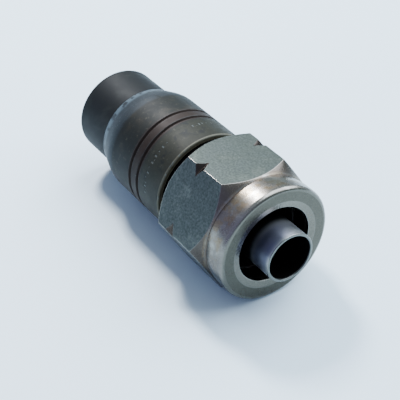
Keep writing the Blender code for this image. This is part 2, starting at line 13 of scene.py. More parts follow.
import bmesh
import bpy
from bmesh.types import BMesh, BMEdge, BMFace
from bpy.types import Material, NodeInputs, NodeSocket, NodeTree, Object
from mathutils import Matrix, Vector


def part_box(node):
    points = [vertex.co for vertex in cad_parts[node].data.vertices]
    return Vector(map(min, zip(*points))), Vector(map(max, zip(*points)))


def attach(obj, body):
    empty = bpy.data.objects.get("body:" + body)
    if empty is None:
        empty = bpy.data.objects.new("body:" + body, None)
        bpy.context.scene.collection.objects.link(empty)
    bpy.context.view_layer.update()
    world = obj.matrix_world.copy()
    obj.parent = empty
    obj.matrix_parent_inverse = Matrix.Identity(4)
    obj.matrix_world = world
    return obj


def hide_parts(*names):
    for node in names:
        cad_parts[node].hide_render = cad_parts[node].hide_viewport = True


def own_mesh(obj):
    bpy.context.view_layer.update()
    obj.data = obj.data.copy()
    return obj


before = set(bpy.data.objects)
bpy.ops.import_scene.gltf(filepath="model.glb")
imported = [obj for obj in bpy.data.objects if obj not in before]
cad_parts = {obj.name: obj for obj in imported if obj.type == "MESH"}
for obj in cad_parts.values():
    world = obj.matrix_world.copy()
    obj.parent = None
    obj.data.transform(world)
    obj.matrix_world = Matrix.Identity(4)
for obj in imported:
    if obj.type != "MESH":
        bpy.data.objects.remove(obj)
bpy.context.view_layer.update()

LOG = logging.getLogger("coupler")

MM = 0.001
FINE = 192                      # segments round a large turned piece
MEDIUM = 128
SMALL = 64
SUPPORT = 0.04                  # mm, rings that keep a rounding's shading off the flat beside it
ARC_STEP = 15                   # degrees, the longest step of a rounding
WELD = 0.0005                   # mm, distance under which doubled points are merged
WORN_ARC = 0.35                 # mm, an outer rounding this tight is fully worn, an inner one fully grimy
SHARP = math.radians(32)        # an edge that bends more than this is shaded sharp
EDGE = 0.15                     # mm, rounding of a broken edge
FINE_EDGE = 0.12                # mm, rounding of a thin or inner edge
OVERSHOOT = 0.8                 # mm, how far a drill runs past the wall that it cuts
RING_SIDES = 24                 # sides of a rubber ring's section

ORIGIN = (0.0, 0.0, 0.0)
AXIS = (1.0, 0.0, 0.0)
FULL_TURN = 2 * math.pi
QUARTER_TURN = math.pi / 2

# Settings that several nodes share, and the sockets of a Mix node that mixes colours.
SMOOTH = {"interpolation_type": "SMOOTHSTEP"}
PRODUCT = {"operation": "MULTIPLY"}
CLAMPED_SUM = {"operation": "MULTIPLY_ADD", "use_clamp": True}
COLORS = {"data_type": "RGBA"}
FACTOR, FIRST, SECOND, MIXED = 0, 6, 7, 2
NOISE_ROUGHNESS = 0.62


class Body(Enum):
    """The frame's moving bodies."""

    COUPLER = "coupler_body"
    SLEEVE = "sleeve"
    VALVE = "valve"
    CLAMP = "clamp"
    NUT = "nut"


class Slot(Enum):
    """The record's material slots."""

    BLACKENED = "blackened_steel"
    GUNMETAL = "gunmetal_steel"
    BARE = "bare_steel"
    TURNED = "turned_steel"
    HARDENED = "hardened_steel"
    SPRING = "spring_steel"
    BRASS = "brass"
    RUBBER = "nitrile_rubber"


@dataclass(frozen=True)
class AxisFrame:
    """Where the coupler's axis lies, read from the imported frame.

    Attributes:
        mouth: the X of the mouth's face, in metres.
        height: the Z of the axis, in metres.
    """

    mouth: float
    height: float

    @classmethod
    def read(cls) -> "AxisFrame":
        """Read the mouth's place and the axis's height from the socket body and the nut."""
        low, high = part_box("hose_nut")
        return cls(mouth=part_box("socket_body")[0].x, height=(low.z + high.z) / 2)

    def matrix(self) -> Matrix:
        """Return the transform from the drawing's millimetres to the frame's metres."""
        return Matrix.Translation((self.mouth, 0.0, self.height)) @ Matrix.Scale(MM, 4)

    def span(self, node: str) -> tuple[float, float]:
        """Return a CAD node's first and last station, in millimetres."""
        low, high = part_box(node)
        return (low.x - self.mouth) / MM, (high.x - self.mouth) / MM

    def radius(self, node: str) -> float:
        """Return a CAD node's outer radius, in millimetres, measured upward from the axis."""
        return (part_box(node)[1].z - self.height) / MM


# ---------------------------------------------------------------- how a finish is made

def linear(hex_color: str) -> tuple[float, float, float, float]:
    """Turn an sRGB hex colour into linear RGBA.

    Args:
        hex_color: six hex digits, with or without a leading #.

    Returns:
        The linear red, green and blue, with an alpha of 1.
    """
    digits = hex_color.lstrip("#")
    channels = [int(digits[place:place + 2], 16) / 255 for place in (0, 2, 4)]
    red, green, blue = (c / 12.92 if c <= 0.04045 else ((c + 0.055) / 1.055) ** 2.4 for c in channels)
    return (red, green, blue, 1.0)


def add_node(tree: NodeTree, kind: str, settings: dict | None = None, inputs: dict | None = None,
             output: int | str = 0) -> NodeSocket:
    """Add a shader node with its settings and its links.

    Args:
        tree: the node tree that takes the node.
        kind: the node's type name without the leading "ShaderNode".
        settings: attributes of the node.
        inputs: values or source sockets, by the input's name or number.
        output: the name or number of the output that is wanted.

    Returns:
        That output of the new node.
    """
    node = tree.nodes.new("ShaderNode" + kind)
    for name, value in (settings or {}).items():
        setattr(node, name, value)
    for key, value in (inputs or {}).items():
        if isinstance(value, NodeSocket):
            tree.links.new(value, node.inputs[key])
        else:
            node.inputs[key].default_value = value
    return node.outputs[output]


def new_material(name: str) -> tuple[Material, NodeTree, NodeInputs]:
    """Start a material.

    Args:
        name: what the real material is.

    Returns:
        The material, its node tree and the inputs of its Principled shader.
    """
    material = bpy.data.materials.new(name)
    material.use_nodes = True
    return material, material.node_tree, material.node_tree.nodes["Principled BSDF"].inputs


@dataclass(frozen=True)
class Places:
    """Where each point of a surface lies on the drawing, as sockets of one material.

    Attributes:
        tree: the material's node tree.
        place: millimetres from the axis at the mouth.
        station: millimetres behind the mouth.
        radius: millimetres from the axis.
        lathe: (station, radius, a little of the way round), which turning marks follow.
    """

    tree: NodeTree
    place: NodeSocket
    station: NodeSocket
    radius: NodeSocket
    lathe: NodeSocket

    @classmethod
    def of(cls, tree: NodeTree, axis: AxisFrame) -> "Places":
        """Add the nodes that place a point on the drawing.

        Args:
            tree: the material's node tree.
            axis: the coupler's axis.

        Returns:
            The sockets.
        """
        place = add_node(tree, "Mapping", inputs={
            "Vector": add_node(tree, "TexCoord", output="Object"),
            "Location": (-axis.mouth / MM, 0.0, -axis.height / MM),
            "Scale": (1 / MM, 1 / MM, 1 / MM)})
        split = add_node(tree, "SeparateXYZ", inputs={0: place}).node.outputs
        flat = add_node(tree, "CombineXYZ", inputs={"Y": split["Y"], "Z": split["Z"]})
        radius = add_node(tree, "VectorMath", {"operation": "LENGTH"}, {0: flat}, "Value")
        drift = add_node(tree, "Math", PRODUCT, {0: split["Y"], 1: 0.012})
        lathe = add_node(tree, "CombineXYZ", inputs={"X": split["X"], "Y": radius, "Z": drift})
        return cls(tree, place, split["X"], radius, lathe)


@dataclass(frozen=True)
class Band:
    """A stretch of a turned piece with a colour of its own; some bands paint shade or a reflection instead.

    Attributes:
        start: first station, in mm.
        end: last station, in mm.
        fade: length over which the colour comes and goes, in mm.
        color: the band's sRGB colour.
        amount: how strongly it covers the metal.
        patch: size of the patches that break it up, in mm.
        cover: share of the band that the patches fill; above 1.2 they leave no gaps.
        side: the side that the band lies on, times how fast it gathers there, or zeros for all round.
        within: the band's largest radius, in mm.
    """

    start: float
    end: float
    fade: float
    color: str
    amount: float = 1.0
    patch: float = 3.0
    cover: float = 1.0
    side: tuple[float, float, float] = ORIGIN
    within: float = math.inf

    def mask(self, at: Places) -> NodeSocket:
        """Build the band's mask.

        Args:
            at: where each point lies.

        Returns:
            A socket that is the band's amount on it, and 0 off it.
        """
        tree, half = at.tree, self.fade / 2
        gap = 0.62 - 0.35 * self.cover
        patches = add_node(tree, "TexNoise", inputs={
            "Vector": at.place, "Scale": 1 / self.patch, "Detail": 5.0, "Roughness": NOISE_ROUGHNESS})
        steps = [(at.station, self.end + half, self.end - half, 1.0), (patches, gap, gap + 0.1, self.amount)]
        if any(self.side):
            lean = add_node(tree, "VectorMath", {"operation": "DOT_PRODUCT"}, {
                0: at.place, 1: self.side}, "Value")
            steps.append((lean, 0.0, 9.0, 1.0))
        if self.within < math.inf:
            steps.append((at.radius, self.within + 0.05, self.within, 1.0))
        mask = add_node(tree, "MapRange", SMOOTH, {
            "Value": at.station, "From Min": self.start - half, "From Max": self.start + half})
        for value, low, high, top in steps:
            step = add_node(tree, "MapRange", SMOOTH, {
                "Value": value, "From Min": low, "From Max": high, "To Max": top})
            mask = add_node(tree, "Math", PRODUCT, {0: mask, 1: step})
        return mask


@dataclass(frozen=True)
class CavityShade:
    """The part of a piece that lies deep inside the coupler, painted dark as shade.

    Attributes:
        radius: how far from the axis it reaches, in mm.
        end: the station where it ends, in mm.
        fade: length over which it darkens, in mm.
        color: the sRGB colour of the painted shade.
    """

    radius: float
    end: float
    fade: float = 1.0
    color: str = "#141312"

    def mask(self, at: Places) -> NodeSocket:
        """Build the cavity's mask.

        Args:
            at: where each point lies.

        Returns:
            A socket that is 1 deep inside and 0 outside.
        """
        behind = add_node(at.tree, "MapRange", SMOOTH, {
            "Value": at.station, "From Min": self.end, "From Max": self.end - self.fade})
        near = add_node(at.tree, "MapRange", SMOOTH, {
            "Value": at.radius, "From Min": self.radius + 0.05, "From Max": self.radius})
        return add_node(at.tree, "Math", PRODUCT, {0: behind, 1: near})


@dataclass(frozen=True)
class Metal:
    """A worn, machined metal surface.

    Attributes:
        axis: the coupler's axis, which turning marks run round.
        name: what the real metal and finish are.
        base: the metal's main sRGB colour.
        light: colour of rubbed patches.
        dark: colour of stained patches.
        edge: colour of worn outer edges.
        grime: colour of what gathers in inner corners.
        metallic: 1 for bare metal, less under an oxide layer.
        sheen: specular level of the oxide layer.
        rough: roughness of the rubbed patches.
        dull: roughness of the stained patches.
        patch: size of the patches, in mm.
        grain: size of the fine grain, in mm.
        grain_depth: depth of the grain, in mm.
        speckle: how much the grain varies the colour's brightness.
        turning: spacing of the turning marks, in mm, or 0 for none.
        turning_depth: depth of the turning marks, in mm.
        dents: depth of knocks and dings, in mm.
        wear: how far edges have lost their finish, from 0 to 1.
        bands: stretches with a colour of their own, some of them painted shade or a painted reflection, under
            the worn edges.
        stains: stretches with a colour of their own, some of them painted shade, over the worn edges.
        cavities: the parts deep inside the coupler, painted dark as shade.
    """

    axis: AxisFrame
    name: str = "steel"
    base: str = "#808080"
    light: str = "#8c8c8c"
    dark: str = "#747474"
    edge: str = "#a0a0a0"
    grime: str = "#303030"
    metallic: float = 1.0
    sheen: float = 0.5
    rough: float = 0.32
    dull: float = 0.5
    patch: float = 5.0
    grain: float = 0.2
    grain_depth: float = 0.004
    speckle: float = 0.12
    turning: float = 0.0
    turning_depth: float = 0.0
    dents: float = 0.0
    wear: float = 0.7
    bands: tuple[Band, ...] = ()
    stains: tuple[Band, ...] = ()
    cavities: tuple[CavityShade, ...] = ()

    def build(self) -> Material:
        """Make the material.

        Returns:
            A material with one Principled shader, fed by patches, bands, worn edges, grime and painted shade
            deep inside.
        """
        material, tree, shader = new_material(self.name)
        shader["Metallic"].default_value = self.metallic
        shader["Specular IOR Level"].default_value = self.sheen

        at = Places.of(tree, self.axis)
        cloud = add_node(tree, "TexNoise", inputs={
            "Vector": at.place, "Scale": 1 / self.patch, "Detail": 6.0, "Roughness": NOISE_ROUGHNESS,
            "Distortion": 0.4})
        patches = add_node(tree, "MapRange", SMOOTH, {"Value": cloud, "From Min": 0.3, "From Max": 0.7})
        rubbed = add_node(tree, "MapRange", SMOOTH, {"Value": patches, "From Min": 0.62, "From Max": 0.95})
        relief = add_node(tree, "Attribute", {"attribute_name": "relief"}, output="Fac")
        grimy = add_node(tree, "MapRange", SMOOTH, {"Value": relief, "From Min": 0.46, "From Max": 0.25})
        worn = self._worn_edges(at, relief)
        # painted shade: masks of the parts deep inside, which are coloured dark
        deep = [cavity.mask(at) for cavity in self.cavities]

        bare = [(patches, self.base), (rubbed, self.light)]
        bare += [(band.mask(at), band.color) for band in self.bands]
        over = [(grimy, self.grime), (worn, self.edge)]
        over += [(band.mask(at), band.color) for band in self.stains]
        over += [(mask, cavity.color) for mask, cavity in zip(deep, self.cavities)]
        color = linear(self.dark)
        for mask, coat in bare:
            color = add_node(tree, "Mix", COLORS, {FACTOR: mask, FIRST: color, SECOND: linear(coat)}, MIXED)
        color = self._speckle(at, color)
        for mask, coat in over:
            color = add_node(tree, "Mix", COLORS, {FACTOR: mask, FIRST: color, SECOND: linear(coat)}, MIXED)

        roughness = add_node(tree, "MapRange", inputs={
            "Value": patches, "To Min": self.dull, "To Max": self.rough})
        for mask, change in [(grimy, 0.25), (worn, -0.12)] + [(mask, 0.3) for mask in deep]:
            roughness = add_node(tree, "Math", CLAMPED_SUM, {0: mask, 1: change, 2: roughness})
        tree.links.new(color, shader["Base Color"])
        tree.links.new(roughness, shader["Roughness"])
        tree.links.new(self._bump(at), shader["Normal"])
        return material

    def _worn_edges(self, at: Places, relief: NodeSocket) -> NodeSocket:
        """Mask the outer edges that have lost their finish, with gaps.

        Args:
            at: where each point lies.
            relief: how sharply the surface bends.

        Returns:
            The mask.
        """
        cloud = add_node(at.tree, "TexNoise", inputs={
            "Vector": at.place, "Scale": 0.5, "Detail": 2.0, "Roughness": NOISE_ROUGHNESS})
        gaps = add_node(at.tree, "MapRange", SMOOTH, {
            "Value": cloud, "From Min": 0.36, "From Max": 0.58, "To Min": 0.3, "To Max": self.wear})
        edges = add_node(at.tree, "MapRange", SMOOTH, {"Value": relief, "From Min": 0.56, "From Max": 0.9})
        return add_node(at.tree, "Math", PRODUCT, {0: edges, 1: gaps})

    def _speckle(self, at: Places, color: NodeSocket) -> NodeSocket:
        """Vary the colour's brightness with the grain.

        Args:
            at: where each point lies.
            color: the colour so far.

        Returns:
            The speckled colour.
        """
        grain = add_node(at.tree, "TexNoise", inputs={
            "Vector": at.place, "Scale": 1 / self.grain, "Detail": 3.0, "Roughness": NOISE_ROUGHNESS})
        value = add_node(at.tree, "MapRange", inputs={
            "Value": grain, "From Min": 0.3, "From Max": 0.7,
            "To Min": 1 - self.speckle, "To Max": 1 + self.speckle})
        return add_node(at.tree, "HueSaturation", inputs={"Color": color, "Value": value})

    def _bump(self, at: Places) -> NodeSocket:
        """Return the normal with grain, turning marks and dings.

        Args:
            at: where each point lies.

        Returns:
            The normal's socket.
        """
        grain = add_node(at.tree, "TexNoise", inputs={
            "Vector": at.place, "Scale": 1 / self.grain, "Detail": 4.0, "Roughness": NOISE_ROUGHNESS})
        normal = add_node(at.tree, "Bump", inputs={"Height": grain, "Distance": self.grain_depth * MM})
        if self.turning > 0:
            rings = add_node(at.tree, "TexNoise", inputs={
                "Vector": at.lathe, "Scale": 1 / self.turning, "Detail": 3.0, "Roughness": NOISE_ROUGHNESS})
            normal = add_node(at.tree, "Bump", inputs={
                "Height": rings, "Distance": self.turning_depth * MM, "Normal": normal})
        if self.dents > 0:
            knocks = add_node(at.tree, "TexVoronoi", {"feature": "SMOOTH_F1"}, {
                "Vector": at.place, "Scale": 0.35, "Smoothness": 0.4}, "Distance")
            dings = add_node(at.tree, "MapRange", SMOOTH, {"Value": knocks, "From Min": 0.0, "From Max": 0.22})
            normal = add_node(at.tree, "Bump", inputs={
                "Height": dings, "Distance": self.dents * MM, "Normal": normal})
        return normal


@dataclass(frozen=True)
class Rubber:
    """Moulded nitrile rubber: near black, dull, with a fine pebbled skin and dusty patches.

    Attributes:
        name: what the real material is.
        base: its sRGB colour.
        dust: colour of the dust on it.
        roughness: its middle roughness.
        pebble: size of the skin's pebbles, in mm.
    """

    name: str = "nitrile_rubber_moulded"
    base: str = "#17181a"
    dust: str = "#3a3b3c"
    roughness: float = 0.55
    pebble: float = 0.12

    def build(self) -> Material:
        """Make the material.

        Returns:
            A material with one Principled shader.
        """
        material, tree, shader = new_material(self.name)
        shader["Metallic"].default_value = 0.0
        shader["IOR"].default_value = 1.52
        place = add_node(tree, "Mapping", inputs={
            "Vector": add_node(tree, "TexCoord", output="Object"), "Scale": (1 / MM, 1 / MM, 1 / MM)})
        cloud = add_node(tree, "TexNoise", inputs={"Vector": place, "Scale": 0.8, "Detail": 4.0})
        dusty = add_node(tree, "MapRange", inputs={
            "Value": cloud, "From Min": 0.45, "From Max": 0.75, "To Max": 0.6})
        color = add_node(tree, "Mix", COLORS, {
            FACTOR: dusty, FIRST: linear(self.base), SECOND: linear(self.dust)}, MIXED)
        rough = add_node(tree, "MapRange", inputs={
            "Value": cloud, "To Min": self.roughness - 0.1, "To Max": self.roughness + 0.15})
        skin = add_node(tree, "TexNoise", inputs={"Vector": place, "Scale": 1 / self.pebble})
        pebbles = add_node(tree, "Bump", inputs={"Height": skin, "Distance": 0.004 * MM})
        for source, target in ((color, "Base Color"), (rough, "Roughness"), (pebbles, "Normal")):
            tree.links.new(source, shader[target])
        return material


@dataclass(frozen=True)
class PaintedBoard:
    """Painted table top: pale blue-white, matt, with a faint mottle.

    Attributes:
        name: what the real material is.
        base: its sRGB colour.
        mottle: colour of the paler patches.
        roughness: its roughness.
    """

    name: str = "painted_board"
    base: str = "#d6eaf6"
    mottle: str = "#e0f3fb"
    roughness: float = 0.55

    def build(self) -> Material:
        """Make the material.

        Returns:
            A material with one Principled shader.
        """
        material, tree, shader = new_material(self.name)
        shader["Roughness"].default_value = self.roughness
        cloud = add_node(tree, "TexNoise", inputs={
            "Vector": add_node(tree, "TexCoord", output="Object"), "Scale": 14.0, "Detail": 5.0})
        color = add_node(tree, "Mix", COLORS, {
            FACTOR: cloud, FIRST: linear(self.base), SECOND: linear(self.mottle)}, MIXED)
        tree.links.new(color, shader["Base Color"])
        return material


# ---------------------------------------------------------------- turning, winding and cutting

@dataclass
class Outline:
    """A turned outline, drawn corner by corner, with each corner's rounding radius.

    Attributes:
        closed: whether the last corner joins the first, or both ends lie on the axis.
        corners: (station, radius, rounding) of each corner, in mm.
    """

    closed: bool = True
    corners: list[tuple[float, float, float]] = field(default_factory=list)

    def to(self, station: float, radius: float, rounding: float = 0.0) -> "Outline":
        """Add a corner, and return the outline so that calls can follow each other."""
        self.corners.append((station, radius, rounding))
        return self

    def points(self) -> list[Vector]:
        """Return the outline's points, with every rounded corner as an arc and its support points.

        Returns:
            The points, as (station, radius) vectors.
        """
        count = len(self.corners)
        points: list[Vector] = []
        for index, (station, radius, rounding) in enumerate(self.corners):
            corner = Vector((station, radius))
            at_end = not self.closed and index in (0, count - 1)
            if rounding <= 0.0 or at_end:
                points.append(corner)
                continue
            before = Vector(self.corners[index - 1][:2])
            after = Vector(self.corners[(index + 1) % count][:2])
            points.extend(self._rounded(corner, before, after, rounding))
        return points

    @staticmethod
    def _rounded(corner: Vector, before: Vector, after: Vector, rounding: float) -> list[Vector]:
        """Round one corner.

        Args:
            corner: the sharp corner.
            before: the corner before it.
            after: the corner after it.
            rounding: the radius that is wanted; a short side makes it smaller.

        Returns:
            The arc's points, from one support point to the other.
        """
        back, ahead = before - corner, after - corner
        half = back.angle(ahead) / 2
        room = 0.45 * min(back.length, ahead.length)
        tangent = min(rounding / math.tan(half), room)
        radius = tangent * math.tan(half)
        back.normalize()
        ahead.normalize()
        centre = corner + (back + ahead).normalized() * radius / math.sin(half)
        start = corner + back * tangent - centre
        end = corner + ahead * tangent - centre
        sweep = math.pi - 2 * half
        steps = max(2, math.ceil(math.degrees(sweep) / ARC_STEP))
        turn = math.copysign(sweep, start.x * end.y - start.y * end.x)
        arc = []
        for step in range(steps + 1):
            angle = turn * step / steps
            arc.append(centre + Vector((
                start.x * math.cos(angle) - start.y * math.sin(angle),
                start.x * math.sin(angle) + start.y * math.cos(angle))))
        if tangent + SUPPORT < room:
            arc.insert(0, corner + back * (tangent + SUPPORT))
            arc.append(corner + ahead * (tangent + SUPPORT))
        return arc

    def turn(self, segments: int) -> BMesh:
        """Spin the outline about the X axis.

        Args:
            segments: how many segments go round.

        Returns:
            A closed bmesh in millimetres with its faces pointing out.
        """
        bm = bmesh.new()
        verts = [bm.verts.new((point.x, 0.0, point.y)) for point in self.points()]
        edges = [bm.edges.new(pair) for pair in zip(verts, verts[1:])]
        if self.closed:
            edges.append(bm.edges.new((verts[-1], verts[0])))
        bmesh.ops.spin(bm, geom=verts + edges, cent=ORIGIN, axis=AXIS, dvec=ORIGIN, angle=FULL_TURN,
                       steps=segments, use_merge=True)
        weld(bm)
        return bm


def weld(bm: BMesh) -> None:
    """Merge doubled points, drop slivers and turn every face outward.

    Args:
        bm: the shape to clean.
    """
    bmesh.ops.remove_doubles(bm, verts=bm.verts, dist=WELD)
    bmesh.ops.dissolve_degenerate(bm, dist=WELD, edges=bm.edges)
    bmesh.ops.recalc_face_normals(bm, faces=bm.faces)


def joined(parts: list[BMesh]) -> BMesh:
    """Gather several bmeshes in one, and free them.

    Args:
        parts: the bmeshes.

    Returns:
        A new bmesh with all of them.
    """
    whole = bmesh.new()
    for part in parts:
        scratch = bpy.data.meshes.new("scratch")
        part.to_mesh(scratch)
        part.free()
        whole.from_mesh(scratch)
        bpy.data.meshes.remove(scratch)
    return whole


def boolean(bm: BMesh, tool: BMesh, operation: str) -> BMesh:
    """Cut or join one closed bmesh with another, and free both.

    Args:
        bm: the workpiece.
        tool: the shape that cuts it or is added to it.
        operation: DIFFERENCE, UNION or INTERSECT.

    Returns:
        The result as a new bmesh.
    """
    objects = []
    for name, source in (("workpiece", bm), ("tool", tool)):
        mesh = bpy.data.meshes.new(name)
        source.to_mesh(mesh)
        source.free()
        holder = bpy.data.objects.new(name, mesh)
        bpy.context.scene.collection.objects.link(holder)
        objects.append(holder)
    modifier = objects[0].modifiers.new("cut", "BOOLEAN")
    modifier.operation = operation
    modifier.solver = "EXACT"
    modifier.object = objects[1]
    evaluated = objects[0].evaluated_get(bpy.context.evaluated_depsgraph_get())
    result = bmesh.new()
    result.from_mesh(evaluated.data)
    for holder in objects:
        mesh = holder.data
        bpy.data.objects.remove(holder)
        bpy.data.meshes.remove(mesh)
    weld(result)
    return result


def wind(orbit: float, wire: float, start: float, turns: list[tuple[float, float]],
         sides: int = 12, per_turn: int = 40) -> BMesh:
    """Wind a round wire into a coil.

    Args:
        orbit: radius of the wire's centre line.
        wire: radius of the wire.
        start: station of the wire's centre at the first end.
        turns: (number of turns, rise over them) of each stretch, in order.
        sides: sides of the wire's section.
        per_turn: steps in each turn.

    Returns:
        The coil as a closed bmesh.
    """
    bm = bmesh.new()
    section = bmesh.ops.create_circle(
        bm, cap_ends=True, segments=sides, radius=wire,
        matrix=Matrix.Translation((start, 0.0, orbit)) @ Matrix.Rotation(QUARTER_TURN, 4, "X"))
    end = list({edge for vert in section["verts"] for edge in vert.link_edges})
    for count, rise in turns:
        steps = round(count * per_turn)
        wound = bmesh.ops.spin(bm, geom=end, cent=ORIGIN, axis=AXIS, dvec=(rise / steps, 0.0, 0.0),
                               angle=FULL_TURN * count, steps=steps)
        end = [item for item in wound["geom_last"] if isinstance(item, BMEdge)]
    bmesh.ops.contextual_create(bm, geom=end)
    weld(bm)
    return bm


def radial_drills(count: int, station: float, profile: Outline, segments: int = 32) -> BMesh:
    """Make a ring of drills that point outward from the axis.

    Args:
        count: how many drills.
        station: where they stand.
        profile: a drill's outline, with the distance from the axis as its station.
        segments: segments round each drill.

    Returns:
        The drills as one bmesh.
    """
    drills = []
    for index in range(count):
        drill = profile.turn(segments)
        upright = Matrix.Rotation(-QUARTER_TURN, 4, "Y")
        turn = Matrix.Rotation(FULL_TURN * index / count, 4, "X")
        bmesh.ops.transform(drill, verts=drill.verts,
                            matrix=turn @ Matrix.Translation((station, 0.0, 0.0)) @ upright)
        drills.append(drill)
    return joined(drills)


def mark_relief(bm: BMesh) -> None:
    """Store how sharply the surface bends: above 0.5 on outer edges, below it in inner corners.

    Args:
        bm: the shape, which gets an attribute named relief unless it has one.
    """
    if "relief" in bm.verts.layers.float:
        return
    layer = bm.verts.layers.float.new("relief")
    for vert in bm.verts:
        bend = 0.0
        for edge in vert.link_edges:
            if len(edge.link_faces) != 2:
                continue
            angle = edge.calc_face_angle_signed(0.0)
            width = sum(face.calc_area() for face in edge.link_faces) / (2 * edge.calc_length())
            curve = abs(angle) / max(min(width, WORN_ARC), 0.02)
            bend = max(bend, curve, key=abs) if angle > 0 else min(bend, -curve, key=lambda c: -abs(c))
        vert[layer] = 0.5 + max(-0.5, min(0.5, bend * WORN_ARC / 2))


# ---------------------------------------------------------------- sub-assemblies

@dataclass
class Piece:
    """What every piece of the coupler shares.

    Attributes:
        axis: the coupler's axis.
        finish: the piece's material.
    """

    axis: AxisFrame
    finish: Material

    def fit(self, name: str, bm: BMesh, body: str, slot: Slot, *nodes: str,
            extra: tuple[Material, ...] = ()) -> Object:
        """Turn a bmesh in drawing millimetres into a finished piece of the assembly.

        Args:
            name: the piece's name.
            bm: its shape, which is freed.
            body: the frame body that it rides on.
            slot: not used.
            nodes: the CAD nodes that it stands for.
            extra: further materials, for faces with a material number above 0.

        Returns:
            The new object.
        """
        mark_relief(bm)
        bmesh.ops.transform(bm, verts=bm.verts, matrix=self.axis.matrix())
        mesh = bpy.data.meshes.new(name)
        bm.to_mesh(mesh)
        bm.free()
        mesh.shade_smooth()
        mesh.set_sharp_from_angle(angle=SHARP)
        for material in (self.finish, *extra):
            mesh.materials.append(material)
        piece = bpy.data.objects.new(name, mesh)
        bpy.context.scene.collection.objects.link(piece)
        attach(piece, body)
        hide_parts(*nodes)
        return piece


@dataclass
class SocketBody(Piece):
    """Blackened front body: the nose, the plug's socket, the ball holes and the valve's seat."""

    front: float = 0.0
    rear: float = 34.6
    nose: float = 9.35
    barrel: float = 8.2
    cone_front: float = 15.65
    bore: float = 6.0
    tip_bore: float = 5.0
    mouth_bevel: float = 1.0
    ball_station: float = 17.0
    ball_radius: float = 1.5
    ball_orbit: float = 6.78
    ball_play: float = 0.15
    ball_margin: float = 0.2
    balls: int = 8
    step_front: float = 18.8
    step_rear: float = 19.5
    groove: tuple[float, float, float] = (20.5, 22.3, 6.6)
    seat: tuple[float, float, float] = (23.6, 24.8, 4.5)
    chamber: float = 6.4
    rear_groove: tuple[float, float, float] = (31.33, 32.57, 7.2)

    def build(self) -> list[Object]:
        """Turn the body and drill its ball holes.

        Returns:
            The finished piece, in a list of its own.
        """
        cone_rear = self.cone_front + self.nose - self.barrel
        hole = self.ball_radius + self.ball_play
        before, after = (self.ball_station + way * (hole + self.ball_margin) for way in (-1, 1))
        outline = (
            Outline()
            .to(self.front + self.mouth_bevel, self.bore, 0.3)
            .to(self.front, self.bore + self.mouth_bevel, EDGE)
            .to(self.front, self.nose, 0.7)
            .to(before, self.nose)
            .to(self.cone_front, self.nose, EDGE)
            .to(cone_rear, self.barrel, 0.1)
            .to(after, self.barrel)
            .to(self.rear_groove[0], self.barrel, 0.05)
            .to(self.rear_groove[0], self.rear_groove[2], 0.1)
            .to(self.rear_groove[1], self.rear_groove[2], 0.1)
            .to(self.rear_groove[1], self.barrel, 0.05)
            .to(self.rear, self.barrel, 0.25)
            .to(self.rear, self.chamber, 0.1)
            .to(self.seat[1], self.chamber, 0.2)
            .to(self.seat[1], self.seat[2], FINE_EDGE)
            .to(self.seat[0], self.seat[2], FINE_EDGE)
            .to(self.seat[0], self.tip_bore, 0.1)
            .to(self.groove[1], self.tip_bore, 0.08)
            .to(self.groove[1], self.groove[2], 0.1)
            .to(self.groove[0], self.groove[2], 0.1)
            .to(self.groove[0], self.tip_bore, 0.08)
            .to(self.step_rear, self.tip_bore, 0.2)
            .to(self.step_front, self.bore, 0.2)
            .to(before, self.bore)
        )
        drill = (
            Outline(closed=False)
            .to(self.bore - OVERSHOOT, 0.0)
            .to(self.bore - OVERSHOOT, self.ball_radius - self.ball_play)
            .to(self.bore, self.ball_radius - self.ball_play)
            .to(self.ball_orbit, hole)
            .to(self.nose + OVERSHOOT, hole)
            .to(self.nose + OVERSHOOT, 0.0)
        )
        drills = radial_drills(self.balls, self.ball_station, drill)
        body = boolean(outline.turn(MEDIUM), drills, "DIFFERENCE")
        return [self.fit("socket_body_finished", body, Body.COUPLER.value, Slot.BLACKENED, "socket_body")]


